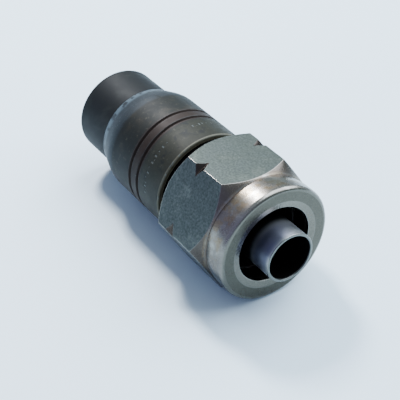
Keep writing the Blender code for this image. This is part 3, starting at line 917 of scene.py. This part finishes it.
@dataclass
class ReleaseSleeve(Piece):
    """Sliding sleeve with a sloping shoulder, two grip grooves and a ring of plain stamped marks."""

    front: float = 10.6
    rear: float = 33.6
    outer: float = 11.17
    tip: float = 9.75
    recess: float = 9.55
    land: float = 8.5
    skirt: float = 10.2
    land_front: float = 16.85
    land_rear: float = 19.5
    shoulder_slope: float = math.radians(17.5)
    shoulder_round: float = 6.0
    groove_setbacks: tuple[float, ...] = (10.4, 7.7)
    groove_width: float = 0.95
    groove_depth: float = 0.36
    stamp_front: float = 28.4
    stamp_rows: int = 3
    stamp_pitch: float = 0.24
    stamp_depth: float = 0.05
    stamp_repeat: int = 48
    dashes: tuple[int, ...] = (0, 4, 6, 12, 18, 22, 28)
    dots: tuple[int, ...] = (2, 9, 15, 20, 25, 31)

    def build(self) -> list[Object]:
        """Turn the sleeve and stamp its band.

        Returns:
            The finished piece, in a list of its own.
        """
        shoulder_end = self.front + (self.outer - self.tip) / math.tan(self.shoulder_slope)
        outline = (
            Outline()
            .to(self.front, self.recess, 0.04)
            .to(self.front, self.tip, 0.1)
            .to(shoulder_end, self.outer, self.shoulder_round)
        )
        for setback in self.groove_setbacks:
            station = self.rear - setback
            bottom = self.outer - self.groove_depth
            outline.to(station - self.groove_width / 2, self.outer, 0.1)
            outline.to(station - self.groove_width / 4, bottom, FINE_EDGE)
            outline.to(station + self.groove_width / 4, bottom, FINE_EDGE)
            outline.to(station + self.groove_width / 2, self.outer, 0.1)
        for row in range(self.stamp_rows + 1):
            outline.to(self.stamp_front + row * self.stamp_pitch, self.outer)
        (
            outline
            .to(self.rear, self.outer, 0.3)
            .to(self.rear, self.skirt, 0.1)
            .to(self.land_rear, self.skirt, EDGE)
            .to(self.land_rear, self.land, 0.1)
            .to(self.land_front, self.land, 0.1)
            .to(self.land_front + self.land - self.recess, self.recess, EDGE)
        )
        bm = outline.turn(FINE)
        mark_relief(bm)
        self._stamp(bm)
        return [self.fit("release_sleeve_finished", bm, Body.SLEEVE.value, Slot.GUNMETAL, "release_sleeve")]

    def _stamp(self, bm: BMesh) -> None:
        """Press plain dashes and dots into the band behind the grooves, and mark them as worn.

        Args:
            bm: the turned sleeve, with its relief stored.
        """
        last = self.stamp_front + self.stamp_rows * self.stamp_pitch
        marks = []
        for face in bm.faces:
            centre = face.calc_center_median()
            if not self.stamp_front < centre.x < last or math.hypot(centre.y, centre.z) < self.outer - 0.1:
                continue
            column = round(math.atan2(centre.y, centre.z) / FULL_TURN * FINE - 0.5)
            row = int((centre.x - self.stamp_front) / self.stamp_pitch)
            if self._is_marked(column % self.stamp_repeat, row):
                marks.append(face)
        bmesh.ops.inset_region(bm, faces=marks, thickness=0.05, depth=-self.stamp_depth, use_even_offset=True)
        relief = bm.verts.layers.float["relief"]
        for vert in {vert for face in marks for vert in face.verts}:
            vert[relief] = 0.75

    def _is_marked(self, place: int, row: int) -> bool:
        """Say whether a cell of the ring belongs to a mark."""
        return place in self.dashes or place in self.dots and row == place % self.stamp_rows


@dataclass
class HoseNut(Piece):
    """Hexagon union nut: bevelled corners with a notch, a neck, a collar and a dished mouth."""

    flats: Material | None = None
    rear: float = 35.8
    front: float = 55.6
    half_flats: float = 12.0
    thread_bore: float = 9.8
    rear_face: float = 11.7
    neck_setback: float = 5.1
    neck: float = 11.7
    collar: float = 11.95
    notch_setback: float = 13.9
    notch_half_width: float = 1.25
    notch_depth: float = 0.86
    dish: float = 9.14
    dish_depth: float = 0.3
    mouth: float = 7.81
    clamp_shoulder: float = 49.0
    clamp_slope: float = 1.25 / 1.8
    edge_bevel: float = 0.1
    stock: float = 0.35

    def build(self) -> list[Object]:
        """Turn the blank, mill six flats and break their edges.

        Returns:
            The finished piece, in a list of its own.
        """
        corner = self.half_flats / math.cos(math.pi / 6)
        blank = corner + self.stock
        neck_station = self.front - self.neck_setback
        notch = self.front - self.notch_setback
        notch_half = self.notch_half_width / self.notch_depth * (blank - corner + self.notch_depth)
        outline = (
            Outline()
            .to(self.rear + 0.5, self.thread_bore, 0.1)
            .to(self.rear, self.thread_bore + 0.5, 0.1)
            .to(self.rear, self.rear_face, FINE_EDGE)
            .to(self.rear + blank - self.rear_face, blank)
            .to(notch - notch_half, blank)
            .to(notch, corner - self.notch_depth, FINE_EDGE)
            .to(notch + notch_half, blank)
            .to(neck_station - (blank - self.neck), blank)
            .to(neck_station, self.neck, EDGE)
            .to(neck_station + 2.3, self.collar, 6.0)
            .to(self.front, self.collar, 0.8)
            .to(self.front, self.dish, 0.6)
            .to(self.front - self.dish_depth, self.mouth, FINE_EDGE)
            .to(self.clamp_shoulder + (self.thread_bore - self.mouth) / self.clamp_slope, self.mouth, 0.1)
            .to(self.clamp_shoulder, self.thread_bore, 0.2)
        )
        bm = outline.turn(FINE)
        self._mill_flats(bm)
        return [self.fit("hose_nut_finished", bm, Body.NUT.value, Slot.BARE, "hose_nut", extra=(self.flats,))]

    def _mill_flats(self, bm: BMesh) -> None:
        """Cut six planes off the blank, with a flat up and a flat down, and bevel what they leave.

        Args:
            bm: the turned blank.
        """
        for side in range(6):
            angle = math.radians(60 * side)
            normal = Vector((0.0, math.sin(angle), math.cos(angle)))
            cut = bmesh.ops.bisect_plane(
                bm, geom=bm.verts[:] + bm.edges[:] + bm.faces[:], dist=0.0001,
                plane_co=normal * self.half_flats, plane_no=normal, clear_outer=True)
            rim = [item for item in cut["geom_cut"] if isinstance(item, BMEdge)]
            bmesh.ops.contextual_create(bm, geom=rim)
        bmesh.ops.remove_doubles(bm, verts=bm.verts, dist=0.01)
        bmesh.ops.recalc_face_normals(bm, faces=bm.faces)
        flats = self._flat_faces(bm)
        rims = {edge for face in flats for edge in face.edges}
        bmesh.ops.bevel(bm, geom=list(rims), offset=self.edge_bevel, offset_type="OFFSET", affect="EDGES",
                        segments=2, profile=0.5, material=-1, clamp_overlap=True)
        flats = self._flat_faces(bm)
        bmesh.ops.inset_individual(bm, faces=flats, thickness=0.06, use_even_offset=True)
        for face in self._flat_faces(bm):
            face.material_index = 1

    def _flat_faces(self, bm: BMesh) -> list[BMFace]:
        """Find the faces that lie in one of the six flats.

        Args:
            bm: the milled blank.

        Returns:
            The faces.
        """
        found = []
        for face in bm.faces:
            normal = face.normal
            on_plane = abs(face.calc_center_median().dot(normal) - self.half_flats) < 0.002
            if abs(normal.x) < 0.001 and on_plane and face.calc_area() > 0.02:
                found.append(face)
        return found


@dataclass
class HoseAdapter(Piece):
    """Rear body: the cup under the sleeve, the left-hand thread and the hose tail."""

    cup_front: float = 28.2
    cup_bore: float = 8.35
    cup: float = 9.9
    cup_floor: float = 37.0
    relief: tuple[float, float] = (34.5, 35.5)
    thread: float = 9.5
    thread_depth: float = 0.8
    thread_pitch: float = 1.5
    thread_ends: tuple[float, float] = (0.5, 0.9)
    thread_steps: int = 72
    ridge_base: float = 0.46
    ridge_crest: float = 0.07
    ridge_sink: float = 0.15
    ridge_fade: float = 0.75
    ridge_reach: float = 0.6
    hose_stop: float = 47.6
    tail: float = 5.05
    tail_bore: float = 4.55
    end: float = 60.0

    def build(self) -> list[Object]:
        """Turn the adapter and wind its thread.

        Returns:
            The finished piece, in a list of its own.
        """
        root = self.thread - self.thread_depth
        outline = (
            Outline()
            .to(self.cup_front, self.cup_bore, 0.1)
            .to(self.cup_front, self.cup, 0.3)
            .to(self.relief[0], self.cup, EDGE)
            .to(self.relief[0], root, EDGE)
            .to(self.hose_stop, root, 0.2)
            .to(self.hose_stop, self.tail, 0.25)
            .to(self.end, self.tail, 0.16)
            .to(self.end, self.tail_bore, FINE_EDGE)
            .to(self.cup_floor + 2.0, self.tail_bore, 0.3)
            .to(self.cup_floor, self.tail_bore + 2.0, 0.1)
            .to(self.cup_floor, self.cup_bore, EDGE)
        )
        body = boolean(outline.turn(MEDIUM), self._thread_ridge(root), "UNION")
        return [self.fit("hose_adapter_finished", body, Body.COUPLER.value, Slot.TURNED, "hose_adapter")]

    def _thread_ridge(self, root: float) -> BMesh:
        """Wind the thread's ridge, left-handed, fading into the root at both ends.

        Args:
            root: radius of the thread's root, in mm.

        Returns:
            The ridge as a closed bmesh.
        """
        first = self.relief[1] + self.thread_ends[0]
        turns = (self.hose_stop - self.thread_ends[1] - first) / self.thread_pitch
        base, crest = self.ridge_base * self.thread_pitch, self.ridge_crest * self.thread_pitch
        foot = root - self.ridge_sink
        corners = ((-base, foot), (-base, root), (-crest, self.thread),
                   (crest, self.thread), (base, root), (base, foot))
        bm = bmesh.new()
        verts = [bm.verts.new((first + offset, 0.0, radius)) for offset, radius in corners]
        section = bm.faces.new(verts)
        steps = round(turns * self.thread_steps)
        wound = bmesh.ops.spin(bm, geom=list(section.edges), cent=ORIGIN, axis=(-1.0, 0.0, 0.0),
                               dvec=(self.thread_pitch / self.thread_steps, 0.0, 0.0),
                               angle=FULL_TURN * steps / self.thread_steps, steps=steps)
        end = [item for item in wound["geom_last"] if isinstance(item, BMEdge)]
        bmesh.ops.contextual_create(bm, geom=end)
        last = first + turns * self.thread_pitch
        fade = self.thread_pitch * self.ridge_fade
        for vert in bm.verts:
            radius = math.hypot(vert.co.y, vert.co.z)
            if radius <= root:
                continue
            inward = min(vert.co.x - first, last - vert.co.x) + self.ridge_reach
            height = max(0.03, min(1.0, inward / fade))
            scale = (root + (radius - root) * height) / radius
            vert.co.y *= scale
            vert.co.z *= scale
        weld(bm)
        return bm


@dataclass
class ClampRing(Piece):
    """Split conical ring that grips the hose."""

    front: float = 50.8
    rear: float = 47.9
    bore: float = 7.65
    outer: float = 9.4
    band: float = 1.1
    cone_drop: float = 1.25
    slot_width: float = 1.6
    saw_spare: float = 2.0

    def build(self) -> list[Object]:
        """Turn the ring and saw its slot.

        Returns:
            The finished piece, in a list of its own.
        """
        outline = (
            Outline()
            .to(self.rear, self.bore, 0.1)
            .to(self.rear, self.outer, EDGE)
            .to(self.rear + self.band, self.outer, 0.3)
            .to(self.front, self.outer - self.cone_drop, 0.1)
            .to(self.front, self.bore, 0.1)
        )
        saw = bmesh.new()
        size = Matrix.Diagonal((
            self.front - self.rear + self.saw_spare, self.slot_width,
            self.outer - self.bore + self.saw_spare, 1.0))
        middle = Matrix.Translation(((self.front + self.rear) / 2, 0.0, (self.outer + self.bore) / 2))
        bmesh.ops.create_cube(saw, size=1.0, matrix=middle @ size)
        ring = boolean(outline.turn(MEDIUM), saw, "DIFFERENCE")
        return [self.fit("clamp_ring_finished", ring, Body.CLAMP.value, Slot.TURNED, "clamp_ring")]


@dataclass
class LockBalls(Piece):
    """The ring of ground balls that lock the plug."""

    count: int = 8

    def build(self) -> list[Object]:
        """Make each ball where its CAD node is.

        Returns:
            The balls.
        """
        balls = []
        for number in range(1, self.count + 1):
            low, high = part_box(f"lock_ball_{number}")
            centre = self.axis.matrix().inverted() @ ((low + high) / 2)
            bm = bmesh.new()
            bmesh.ops.create_icosphere(bm, subdivisions=4, radius=(high.z - low.z) / 2 / MM,
                                       matrix=Matrix.Translation(centre))
            balls.append(self.fit(f"lock_ball_{number}_finished", bm, f"ball_{number}",
                                  Slot.HARDENED, f"lock_ball_{number}"))
        return balls


@dataclass
class Springs(Piece):
    """The sleeve's spring and the valve's spring, each with a closed turn at both ends."""

    sleeve_wire: float = 0.45
    sleeve_orbit: float = 9.2
    valve_wire: float = 0.3
    valve_orbit: float = 3.55
    sleeve_turns: float = 2.5
    valve_turns: float = 2.0
    sleeve_travel: float = 2.0
    valve_travel: float = 3.5
    closed_pitch: float = 1.1

    def build(self) -> list[Object]:
        """Wind both springs.

        Returns:
            The springs.
        """
        return [
            self._spring("sleeve_spring", self.sleeve_orbit, self.sleeve_wire, self.sleeve_turns,
                         "sleeve_slide", self.sleeve_travel),
            self._spring("valve_spring", self.valve_orbit, self.valve_wire, self.valve_turns,
                         "valve_slide", self.valve_travel),
        ]

    def _spring(self, node: str, orbit: float, wire: float, open_turns: float, joint: str,
                travel: float) -> Object:
        """Wind one spring into its CAD node's space.

        Args:
            node: the CAD node it stands for.
            orbit: radius of the wire's centre line.
            wire: radius of the wire.
            open_turns: turns between the closed ones.
            joint: not used.
            travel: not used.

        Returns:
            The spring.
        """
        start, end = self.axis.span(node)
        closed_rise = 2 * wire * self.closed_pitch
        open_rise = (end - start) - 2 * wire - 2 * closed_rise
        bm = wind(orbit, wire, start + wire, [(1, closed_rise), (open_turns, open_rise), (1, closed_rise)])
        piece = self.fit(f"{node}_finished", bm, Body.COUPLER.value, Slot.SPRING, node)
        anchor = self.axis.matrix() @ Vector((end, 0.0, 0.0))
        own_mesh(piece)
        return piece


@dataclass
class SealRings(Piece):
    """The three moulded rubber rings."""

    def build(self) -> list[Object]:
        """Mould each ring in its CAD node's space.

        Returns:
            The rings.
        """
        rings = []
        places = {"plug_seal": Body.COUPLER, "poppet_seal": Body.VALVE, "body_seal": Body.COUPLER}
        for node, body in places.items():
            start, end = self.axis.span(node)
            section = (end - start) / 2
            orbit = self.axis.radius(node) - section
            middle = Matrix.Translation(((start + end) / 2, 0.0, orbit))
            bm = bmesh.new()
            circle = bmesh.ops.create_circle(bm, segments=RING_SIDES, radius=section,
                                             matrix=middle @ Matrix.Rotation(QUARTER_TURN, 4, "X"))
            edges = list({edge for vert in circle["verts"] for edge in vert.link_edges})
            bmesh.ops.spin(bm, geom=circle["verts"] + edges, cent=ORIGIN, axis=AXIS, dvec=ORIGIN,
                           angle=FULL_TURN, steps=MEDIUM, use_merge=True)
            weld(bm)
            rings.append(self.fit(f"{node}_finished", bm, body.value, Slot.RUBBER, node))
        return rings


@dataclass
class Valve(Piece):
    """Brass poppet with its ports, and the perforated guide for its stem."""

    tube: float = 4.1
    tube_bore: float = 2.9
    tube_front: float = 19.8
    bore_end: float = 24.9
    head: tuple[float, float, float] = (26.5, 27.5, 5.6)
    stem: float = 1.5
    stem_end: float = 37.5
    port_station: float = 23.4
    port_radius: float = 0.9
    ports: int = 4
    guide_hole: float = 1.25
    guide_orbit: float = 4.375
    guide_holes: int = 6
    guide_bore: float = 1.75

    def build(self) -> list[Object]:
        """Turn and drill the poppet and its guide.

        Returns:
            The poppet and the guide.
        """
        outline = (
            Outline(closed=False)
            .to(self.bore_end, 0.0)
            .to(self.bore_end, self.tube_bore, 0.2)
            .to(self.tube_front, self.tube_bore, EDGE)
            .to(self.tube_front, self.tube, 0.2)
            .to(self.head[0], self.tube, 0.1)
            .to(self.head[0], self.head[2], FINE_EDGE)
            .to(self.head[1], self.head[2], 0.2)
            .to(self.head[1], self.stem, 0.3)
            .to(self.stem_end, self.stem, 0.3)
            .to(self.stem_end, 0.0)
        )
        drill = (
            Outline(closed=False)
            .to(self.tube_bore - OVERSHOOT, 0.0)
            .to(self.tube_bore - OVERSHOOT, self.port_radius)
            .to(self.tube + OVERSHOOT, self.port_radius)
            .to(self.tube + OVERSHOOT, 0.0)
        )
        drills = radial_drills(self.ports, self.port_station, drill)
        poppet = boolean(outline.turn(SMALL), drills, "DIFFERENCE")
        return [
            self.fit("valve_poppet_finished", poppet, Body.VALVE.value, Slot.BRASS, "valve_poppet"),
            self._guide(),
        ]

    def _guide(self) -> Object:
        """Turn the guide's disc and drill its ring of holes.

        Returns:
            The guide.
        """
        front, rear = self.axis.span("valve_guide")
        outer = self.axis.radius("valve_guide")
        outline = (
            Outline()
            .to(front, self.guide_bore, 0.1)
            .to(front, outer, EDGE)
            .to(rear, outer, EDGE)
            .to(rear, self.guide_bore, 0.1)
        )
        drills = bmesh.new()
        for index in range(self.guide_holes):
            place = (
                Matrix.Rotation(FULL_TURN * index / self.guide_holes, 4, "X")
                @ Matrix.Translation(((front + rear) / 2, self.guide_orbit, 0.0))
                @ Matrix.Rotation(QUARTER_TURN, 4, "Y")
            )
            bmesh.ops.create_cone(drills, cap_ends=True, segments=32, radius1=self.guide_hole,
                                  radius2=self.guide_hole, depth=2 * (rear - front), matrix=place)
        disc = boolean(outline.turn(SMALL), drills, "DIFFERENCE")
        return self.fit("valve_guide_finished", disc, Body.COUPLER.value, Slot.BRASS, "valve_guide")


@dataclass
class SpringWasher(Piece):
    """Flat washer that carries the sleeve's spring."""

    inner: float = 8.4
    outer: float = 9.9

    def build(self) -> list[Object]:
        """Turn the washer.

        Returns:
            The finished piece, in a list of its own.
        """
        front, rear = self.axis.span("spring_washer")
        outline = (
            Outline()
            .to(front, self.inner, 0.08)
            .to(front, self.outer, FINE_EDGE)
            .to(rear, self.outer, FINE_EDGE)
            .to(rear, self.inner, 0.08)
        )
        washer = outline.turn(MEDIUM)
        return [self.fit("spring_washer_finished", washer, Body.COUPLER.value, Slot.TURNED, "spring_washer")]


# ---------------------------------------------------------------- stage

@dataclass
class Stage:
    """A pale table top, soft studio light and the camera.

    Attributes:
        camera_place: where the camera stands, in metres.
        camera_right: the direction on the camera's right.
        camera_up: the direction above the camera.
        lens: focal length, in mm.
        sensor: the sensor's width, in mm.
        window_side: direction of the paler air.
        dim_air: sRGB colour of the air away from the window.
        pale_air: sRGB colour of the air towards the window.
        air_strength: brightness of the air.
        table: half the table top's side, in metres.
    """

    camera_place: tuple[float, float, float] = (0.1421, -0.0941, 0.1350)
    camera_right: tuple[float, float, float] = (0.5594, 0.8288, -0.0062)
    camera_up: tuple[float, float, float] = (-0.4968, 0.3413, 0.7979)
    lens: float = 96.46
    sensor: float = 36.0
    window_side: tuple[float, float, float] = (-0.1, 0.85, 0.5)
    dim_air: str = "#959cc2"
    pale_air: str = "#a3b5bc"
    air_strength: float = 1.4
    table: float = 1.5

    def build(self) -> None:
        """Set the whole stage."""
        self._camera()
        self._floor()
        self._world()
        self._area("key_light", (-0.290, 0.045, 0.345), 0.08, 3.6, "#f6f8ff")
        self._area("window_light", (0.04, 0.31, 0.43), 0.60, 8.5, "#e4f0ff")

    def _camera(self) -> None:
        """Create the camera and make it the scene's own."""
        data = bpy.data.cameras.new("camera")
        data.sensor_width = self.sensor
        data.lens = self.lens
        data.clip_start = 0.005
        right = Vector(self.camera_right).normalized()
        up = Vector(self.camera_up)
        up = (up - right * up.dot(right)).normalized()
        back = right.cross(up)
        turn = Matrix((right, up, back)).transposed().to_4x4()
        camera = bpy.data.objects.new("camera", data)
        camera.matrix_world = Matrix.Translation(self.camera_place) @ turn
        bpy.context.scene.collection.objects.link(camera)
        bpy.context.scene.camera = camera

    def _floor(self) -> None:
        """Lay a pale, faintly mottled table top under the coupler."""
        bm = bmesh.new()
        bmesh.ops.create_grid(bm, x_segments=1, y_segments=1, size=self.table)
        mesh = bpy.data.meshes.new("table_top")
        bm.to_mesh(mesh)
        bm.free()
        floor = bpy.data.objects.new("table_top", mesh)
        bpy.context.scene.collection.objects.link(floor)
        mesh.materials.append(PaintedBoard().build())

    def _world(self) -> None:
        """Light the air softly: pale on the window's side, dim and blue on the other."""
        world = bpy.data.worlds.new("soft_room")
        bpy.context.scene.world = world
        world.use_nodes = True
        tree = world.node_tree
        toward = add_node(tree, "VectorMath", {"operation": "DOT_PRODUCT"}, {
            0: add_node(tree, "TexCoord", output="Generated"), 1: self.window_side}, "Value")
        lift = add_node(tree, "MapRange", SMOOTH, {"Value": toward, "From Min": -0.45, "From Max": 0.65})
        color = add_node(tree, "Mix", COLORS, {
            FACTOR: lift, FIRST: linear(self.dim_air), SECOND: linear(self.pale_air)}, MIXED)
        background = tree.nodes["Background"]
        tree.links.new(color, background.inputs["Color"])
        background.inputs["Strength"].default_value = self.air_strength

    def _area(self, name: str, place: tuple[float, float, float], size: float, power: float,
              color: str) -> None:
        """Hang one soft lamp that faces the coupler.

        Args:
            name: the lamp's name.
            place: where it hangs, in metres.
            size: the side of its square, in metres.
            power: its power in watts.
            color: its sRGB colour.
        """
        data = bpy.data.lights.new(name, "AREA")
        data.shape = "SQUARE"
        data.size = size
        data.energy = power
        data.color = linear(color)[:3]
        lamp = bpy.data.objects.new(name, data)
        lamp.location = place
        lamp.rotation_euler = Vector(place).to_track_quat("Z", "Y").to_euler()
        bpy.context.scene.collection.objects.link(lamp)


# ---------------------------------------------------------------- finishes

@dataclass(frozen=True)
class BlackenedSteel(Metal):
    """Phosphated and oiled steel: dull charcoal with a brown cast, rubbed paler at its rims."""

    name: str = "blackened_steel_worn"
    base: str = "#161817"
    light: str = "#1c1e1d"
    dark: str = "#121416"
    edge: str = "#3c3b38"
    grime: str = "#0a0908"
    metallic: float = 0.1
    sheen: float = 0.12
    rough: float = 0.55
    dull: float = 0.62
    patch: float = 9.0
    grain: float = 0.22
    grain_depth: float = 0.005
    speckle: float = 0.1
    turning: float = 0.5
    turning_depth: float = 0.001
    wear: float = 0.35


@dataclass(frozen=True)
class GunmetalSteel(Metal):
    """Browned steel: olive-grey with rust in its grooves and a rubbed shoulder, tinted blue-grey as a painted
    sky reflection.
    """

    name: str = "gunmetal_steel_browned"
    base: str = "#191a15"
    light: str = "#211f19"
    dark: str = "#141615"
    edge: str = "#6d7472"
    grime: str = "#0a0806"
    metallic: float = 0.28
    sheen: float = 0.19
    rough: float = 0.54
    dull: float = 0.62
    grain: float = 0.25
    grain_depth: float = 0.005
    speckle: float = 0.14
    turning: float = 0.4
    turning_depth: float = 0.0015
    dents: float = 0.006
    wear: float = 0.85
    bands: tuple[Band, ...] = (
        Band(10.0, 16.4, 0.8, "#23292d", 0.85, 2.5, 0.9),       # the shoulder's rubbed bare steel, tinted blue-grey as a painted sky reflection
        Band(10.4, 15.4, 1.5, "#525c61", 0.4, 0.4, 0.1),        # pale flecks on it
        Band(26.8, 33.4, 1.5, "#25251b", 0.7, 3.0, 0.8),        # olive behind the grooves
        Band(14.6, 32.0, 3.0, "#48463a", 0.4, 0.7, 0.1),        # tan flecks all over
    )
    stains: tuple[Band, ...] = (
        Band(10.4, 12.2, 1.4, "#55666f", 0.6, 1.6, 0.6),        # scuffs round the front rim
        Band(22.5, 26.6, 0.4, "#231710", 0.8, 1.5),             # rust in and between the grooves
        Band(33.2, 34.2, 0.15, "#4e4a3a", 0.8, 1.2, 0.8),       # the bare rear rim
    )


@dataclass(frozen=True)
class BareSteel(Metal):
    """Turned bare steel gone bronze with handling: brown in the bevels, greyer on the face, with painted shade
    on its lower side and in its bore.
    """

    name: str = "bare_steel_turned"
    base: str = "#86827a"
    light: str = "#99968e"
    dark: str = "#716a64"
    edge: str = "#a8a69e"
    grime: str = "#574d45"
    rough: float = 0.2
    dull: float = 0.32
    patch: float = 3.0
    grain: float = 0.22
    grain_depth: float = 0.008
    speckle: float = 0.16
    turning: float = 0.3
    turning_depth: float = 0.002
    dents: float = 0.006
    wear: float = 0.35
    bands: tuple[Band, ...] = (
        Band(30.0, 50.2, 0.3, "#5a524b", 0.9, 1.5),                                     # brown bevels
        Band(44.0, 51.4, 1.2, "#332e2b", 0.85, 1.5, 1.2, (0.0, -0.6, -0.8)),            # darker below: painted shade on the lower side of the nut's corners and front bevel
        Band(50.2, 54.2, 0.8, "#7d6a4c", 0.55, 2.2, 0.5),                               # bronze on the neck
        Band(50.2, 55.4, 0.3, "#4d4844", 0.8, 3.0, 1.0, (0.0, -0.6, -0.8)),             # darker below: painted shade on the lower side of the neck and collar
        Band(55.38, 57.0, 0.3, "#4d4b42", 0.97, 3.0, 1.4),                              # the dull face
        Band(55.0, 56.0, 0.1, "#66635a", 0.97, 3.0, 1.4, within=9.05),                  # the paler dish
    )
    stains: tuple[Band, ...] = (Band(40.0, 43.4, 0.3, "#2a221e", 0.8, 0.8),)           # dirt in the notches
    # painted shade: the nut's bore is coloured dark
    cavities: tuple[CavityShade, ...] = (CavityShade(9.0, 55.0, 1.3),)


@dataclass(frozen=True)
class MilledSteel(Metal):
    """Milled flats of the nut: pale grey-green steel with an even grain, drawn coarse enough to show."""

    name: str = "bare_steel_milled"
    base: str = "#535a55"
    light: str = "#5d645e"
    dark: str = "#4b524f"
    edge: str = "#8b918e"
    grime: str = "#3d3832"
    rough: float = 0.34
    dull: float = 0.4
    patch: float = 6.0
    grain: float = 0.4
    grain_depth: float = 0.02
    speckle: float = 0.4
    dents: float = 0.004
    wear: float = 0.4


@dataclass(frozen=True)
class TurnedSteel(Metal):
    """Bright turned steel: fine rings left by the tool, lilac tempering gathered on the side facing the dim
    blue air as a painted reflection, a rim painted darker against its reflection, and painted shade deep
    inside.
    """

    name: str = "turned_steel_bright"
    base: str = "#d2d5d9"
    light: str = "#dadcdf"
    dark: str = "#c8cad2"
    edge: str = "#d2d3d0"
    grime: str = "#8b8a88"
    rough: float = 0.27
    dull: float = 0.31
    patch: float = 6.0
    grain_depth: float = 0.0006
    speckle: float = 0.03
    turning: float = 0.25
    turning_depth: float = 0.0008
    wear: float = 0.3
    bands: tuple[Band, ...] = (
        Band(53.0, 59.4, 0.4, "#8d8ab2", 0.5, 4.0, 1.0, (0.0, -0.9, 0.2)),              # lilac tempering, gathered on the side facing the dim blue air as a painted reflection
        Band(55.8, 59.4, 1.4, "#4d5190", 0.5, 5.0, 1.0, (0.0, -1.6, 0.9)),              # indigo, gathered on the side facing the dim blue air as a painted reflection
    )
    stains: tuple[Band, ...] = (Band(59.85, 61.0, 0.1, "#5f615b", 0.95),)              # the end rim, painted darker to take down its reflection of the pale table
    # painted shade: the tail darkens towards the nut's mouth, and its bore is dark
    cavities: tuple[CavityShade, ...] = (CavityShade(12.0, 57.6, 3.4), CavityShade(4.58, 60.0, 0.4))


@dataclass(frozen=True)
class InnerShadeSteel(Metal):
    """Turned steel painted nearly black as the shade deep inside the coupler, with a faint sheen."""

    name: str = "turned_steel_painted_shade"
    base: str = "#2c2926"
    light: str = "#3a3632"
    dark: str = "#1e1c1a"
    edge: str = "#3a3632"
    grime: str = "#0f0d0c"
    metallic: float = 0.7
    rough: float = 0.4
    dull: float = 0.6
    patch: float = 2.0
    turning: float = 0.3
    turning_depth: float = 0.002
    wear: float = 0.0


@dataclass(frozen=True)
class GroundSteel(Metal):
    """Hardened and ground ball steel: mirror bright with faint haze."""

    name: str = "hardened_steel_ground"
    base: str = "#c8caca"
    light: str = "#d4d5d5"
    dark: str = "#b9bcbe"
    edge: str = "#dcdedc"
    grime: str = "#8c8c8a"
    rough: float = 0.08
    dull: float = 0.16
    patch: float = 2.0
    grain_depth: float = 0.0005
    wear: float = 0.0


@dataclass(frozen=True)
class SpringSteel(Metal):
    """Drawn spring wire: grey, oiled, with fine draw lines."""

    name: str = "spring_steel_drawn"
    base: str = "#9a9b9a"
    light: str = "#abacaa"
    dark: str = "#7e7f80"
    edge: str = "#b6b7b5"
    grime: str = "#4b4743"
    rough: float = 0.26
    dull: float = 0.4
    patch: float = 2.5
    grain_depth: float = 0.002
    wear: float = 0.2


@dataclass(frozen=True)
class TurnedBrass(Metal):
    """Turned brass: yellow, slightly tarnished, with fine tool rings."""

    name: str = "brass_turned"
    base: str = "#c9a961"
    light: str = "#d6b871"
    dark: str = "#a78648"
    edge: str = "#e2cb8c"
    grime: str = "#5c4526"
    rough: float = 0.24
    dull: float = 0.38
    patch: float = 3.0
    grain_depth: float = 0.003
    turning: float = 0.22
    turning_depth: float = 0.003
    wear: float = 0.5


def main() -> None:
    """Build the coupler piece by piece and report each one, then set the stage."""
    logging.basicConfig(level=logging.INFO, format="%(name)s: %(message)s")
    axis = AxisFrame.read()
    # painted shade: one nearly black finish for the clamp ring and the spring washer, which sit deep inside
    oiled = InnerShadeSteel(axis).build()
    assemblies = [
        SocketBody(axis, BlackenedSteel(axis).build()),
        ReleaseSleeve(axis, GunmetalSteel(axis).build()),
        HoseNut(axis, BareSteel(axis).build(), flats=MilledSteel(axis).build()),
        HoseAdapter(axis, TurnedSteel(axis).build()),
        ClampRing(axis, oiled),
        LockBalls(axis, GroundSteel(axis).build()),
        Springs(axis, SpringSteel(axis).build()),
        SealRings(axis, Rubber().build()),
        Valve(axis, TurnedBrass(axis).build()),
        SpringWasher(axis, oiled),
    ]
    for assembly in assemblies:
        for piece in assembly.build():
            LOG.info("%s: %d faces, %s", piece.name, len(piece.data.polygons), piece.data.materials[0].name)
    Stage().build()


if __name__ == "__main__":
    main()
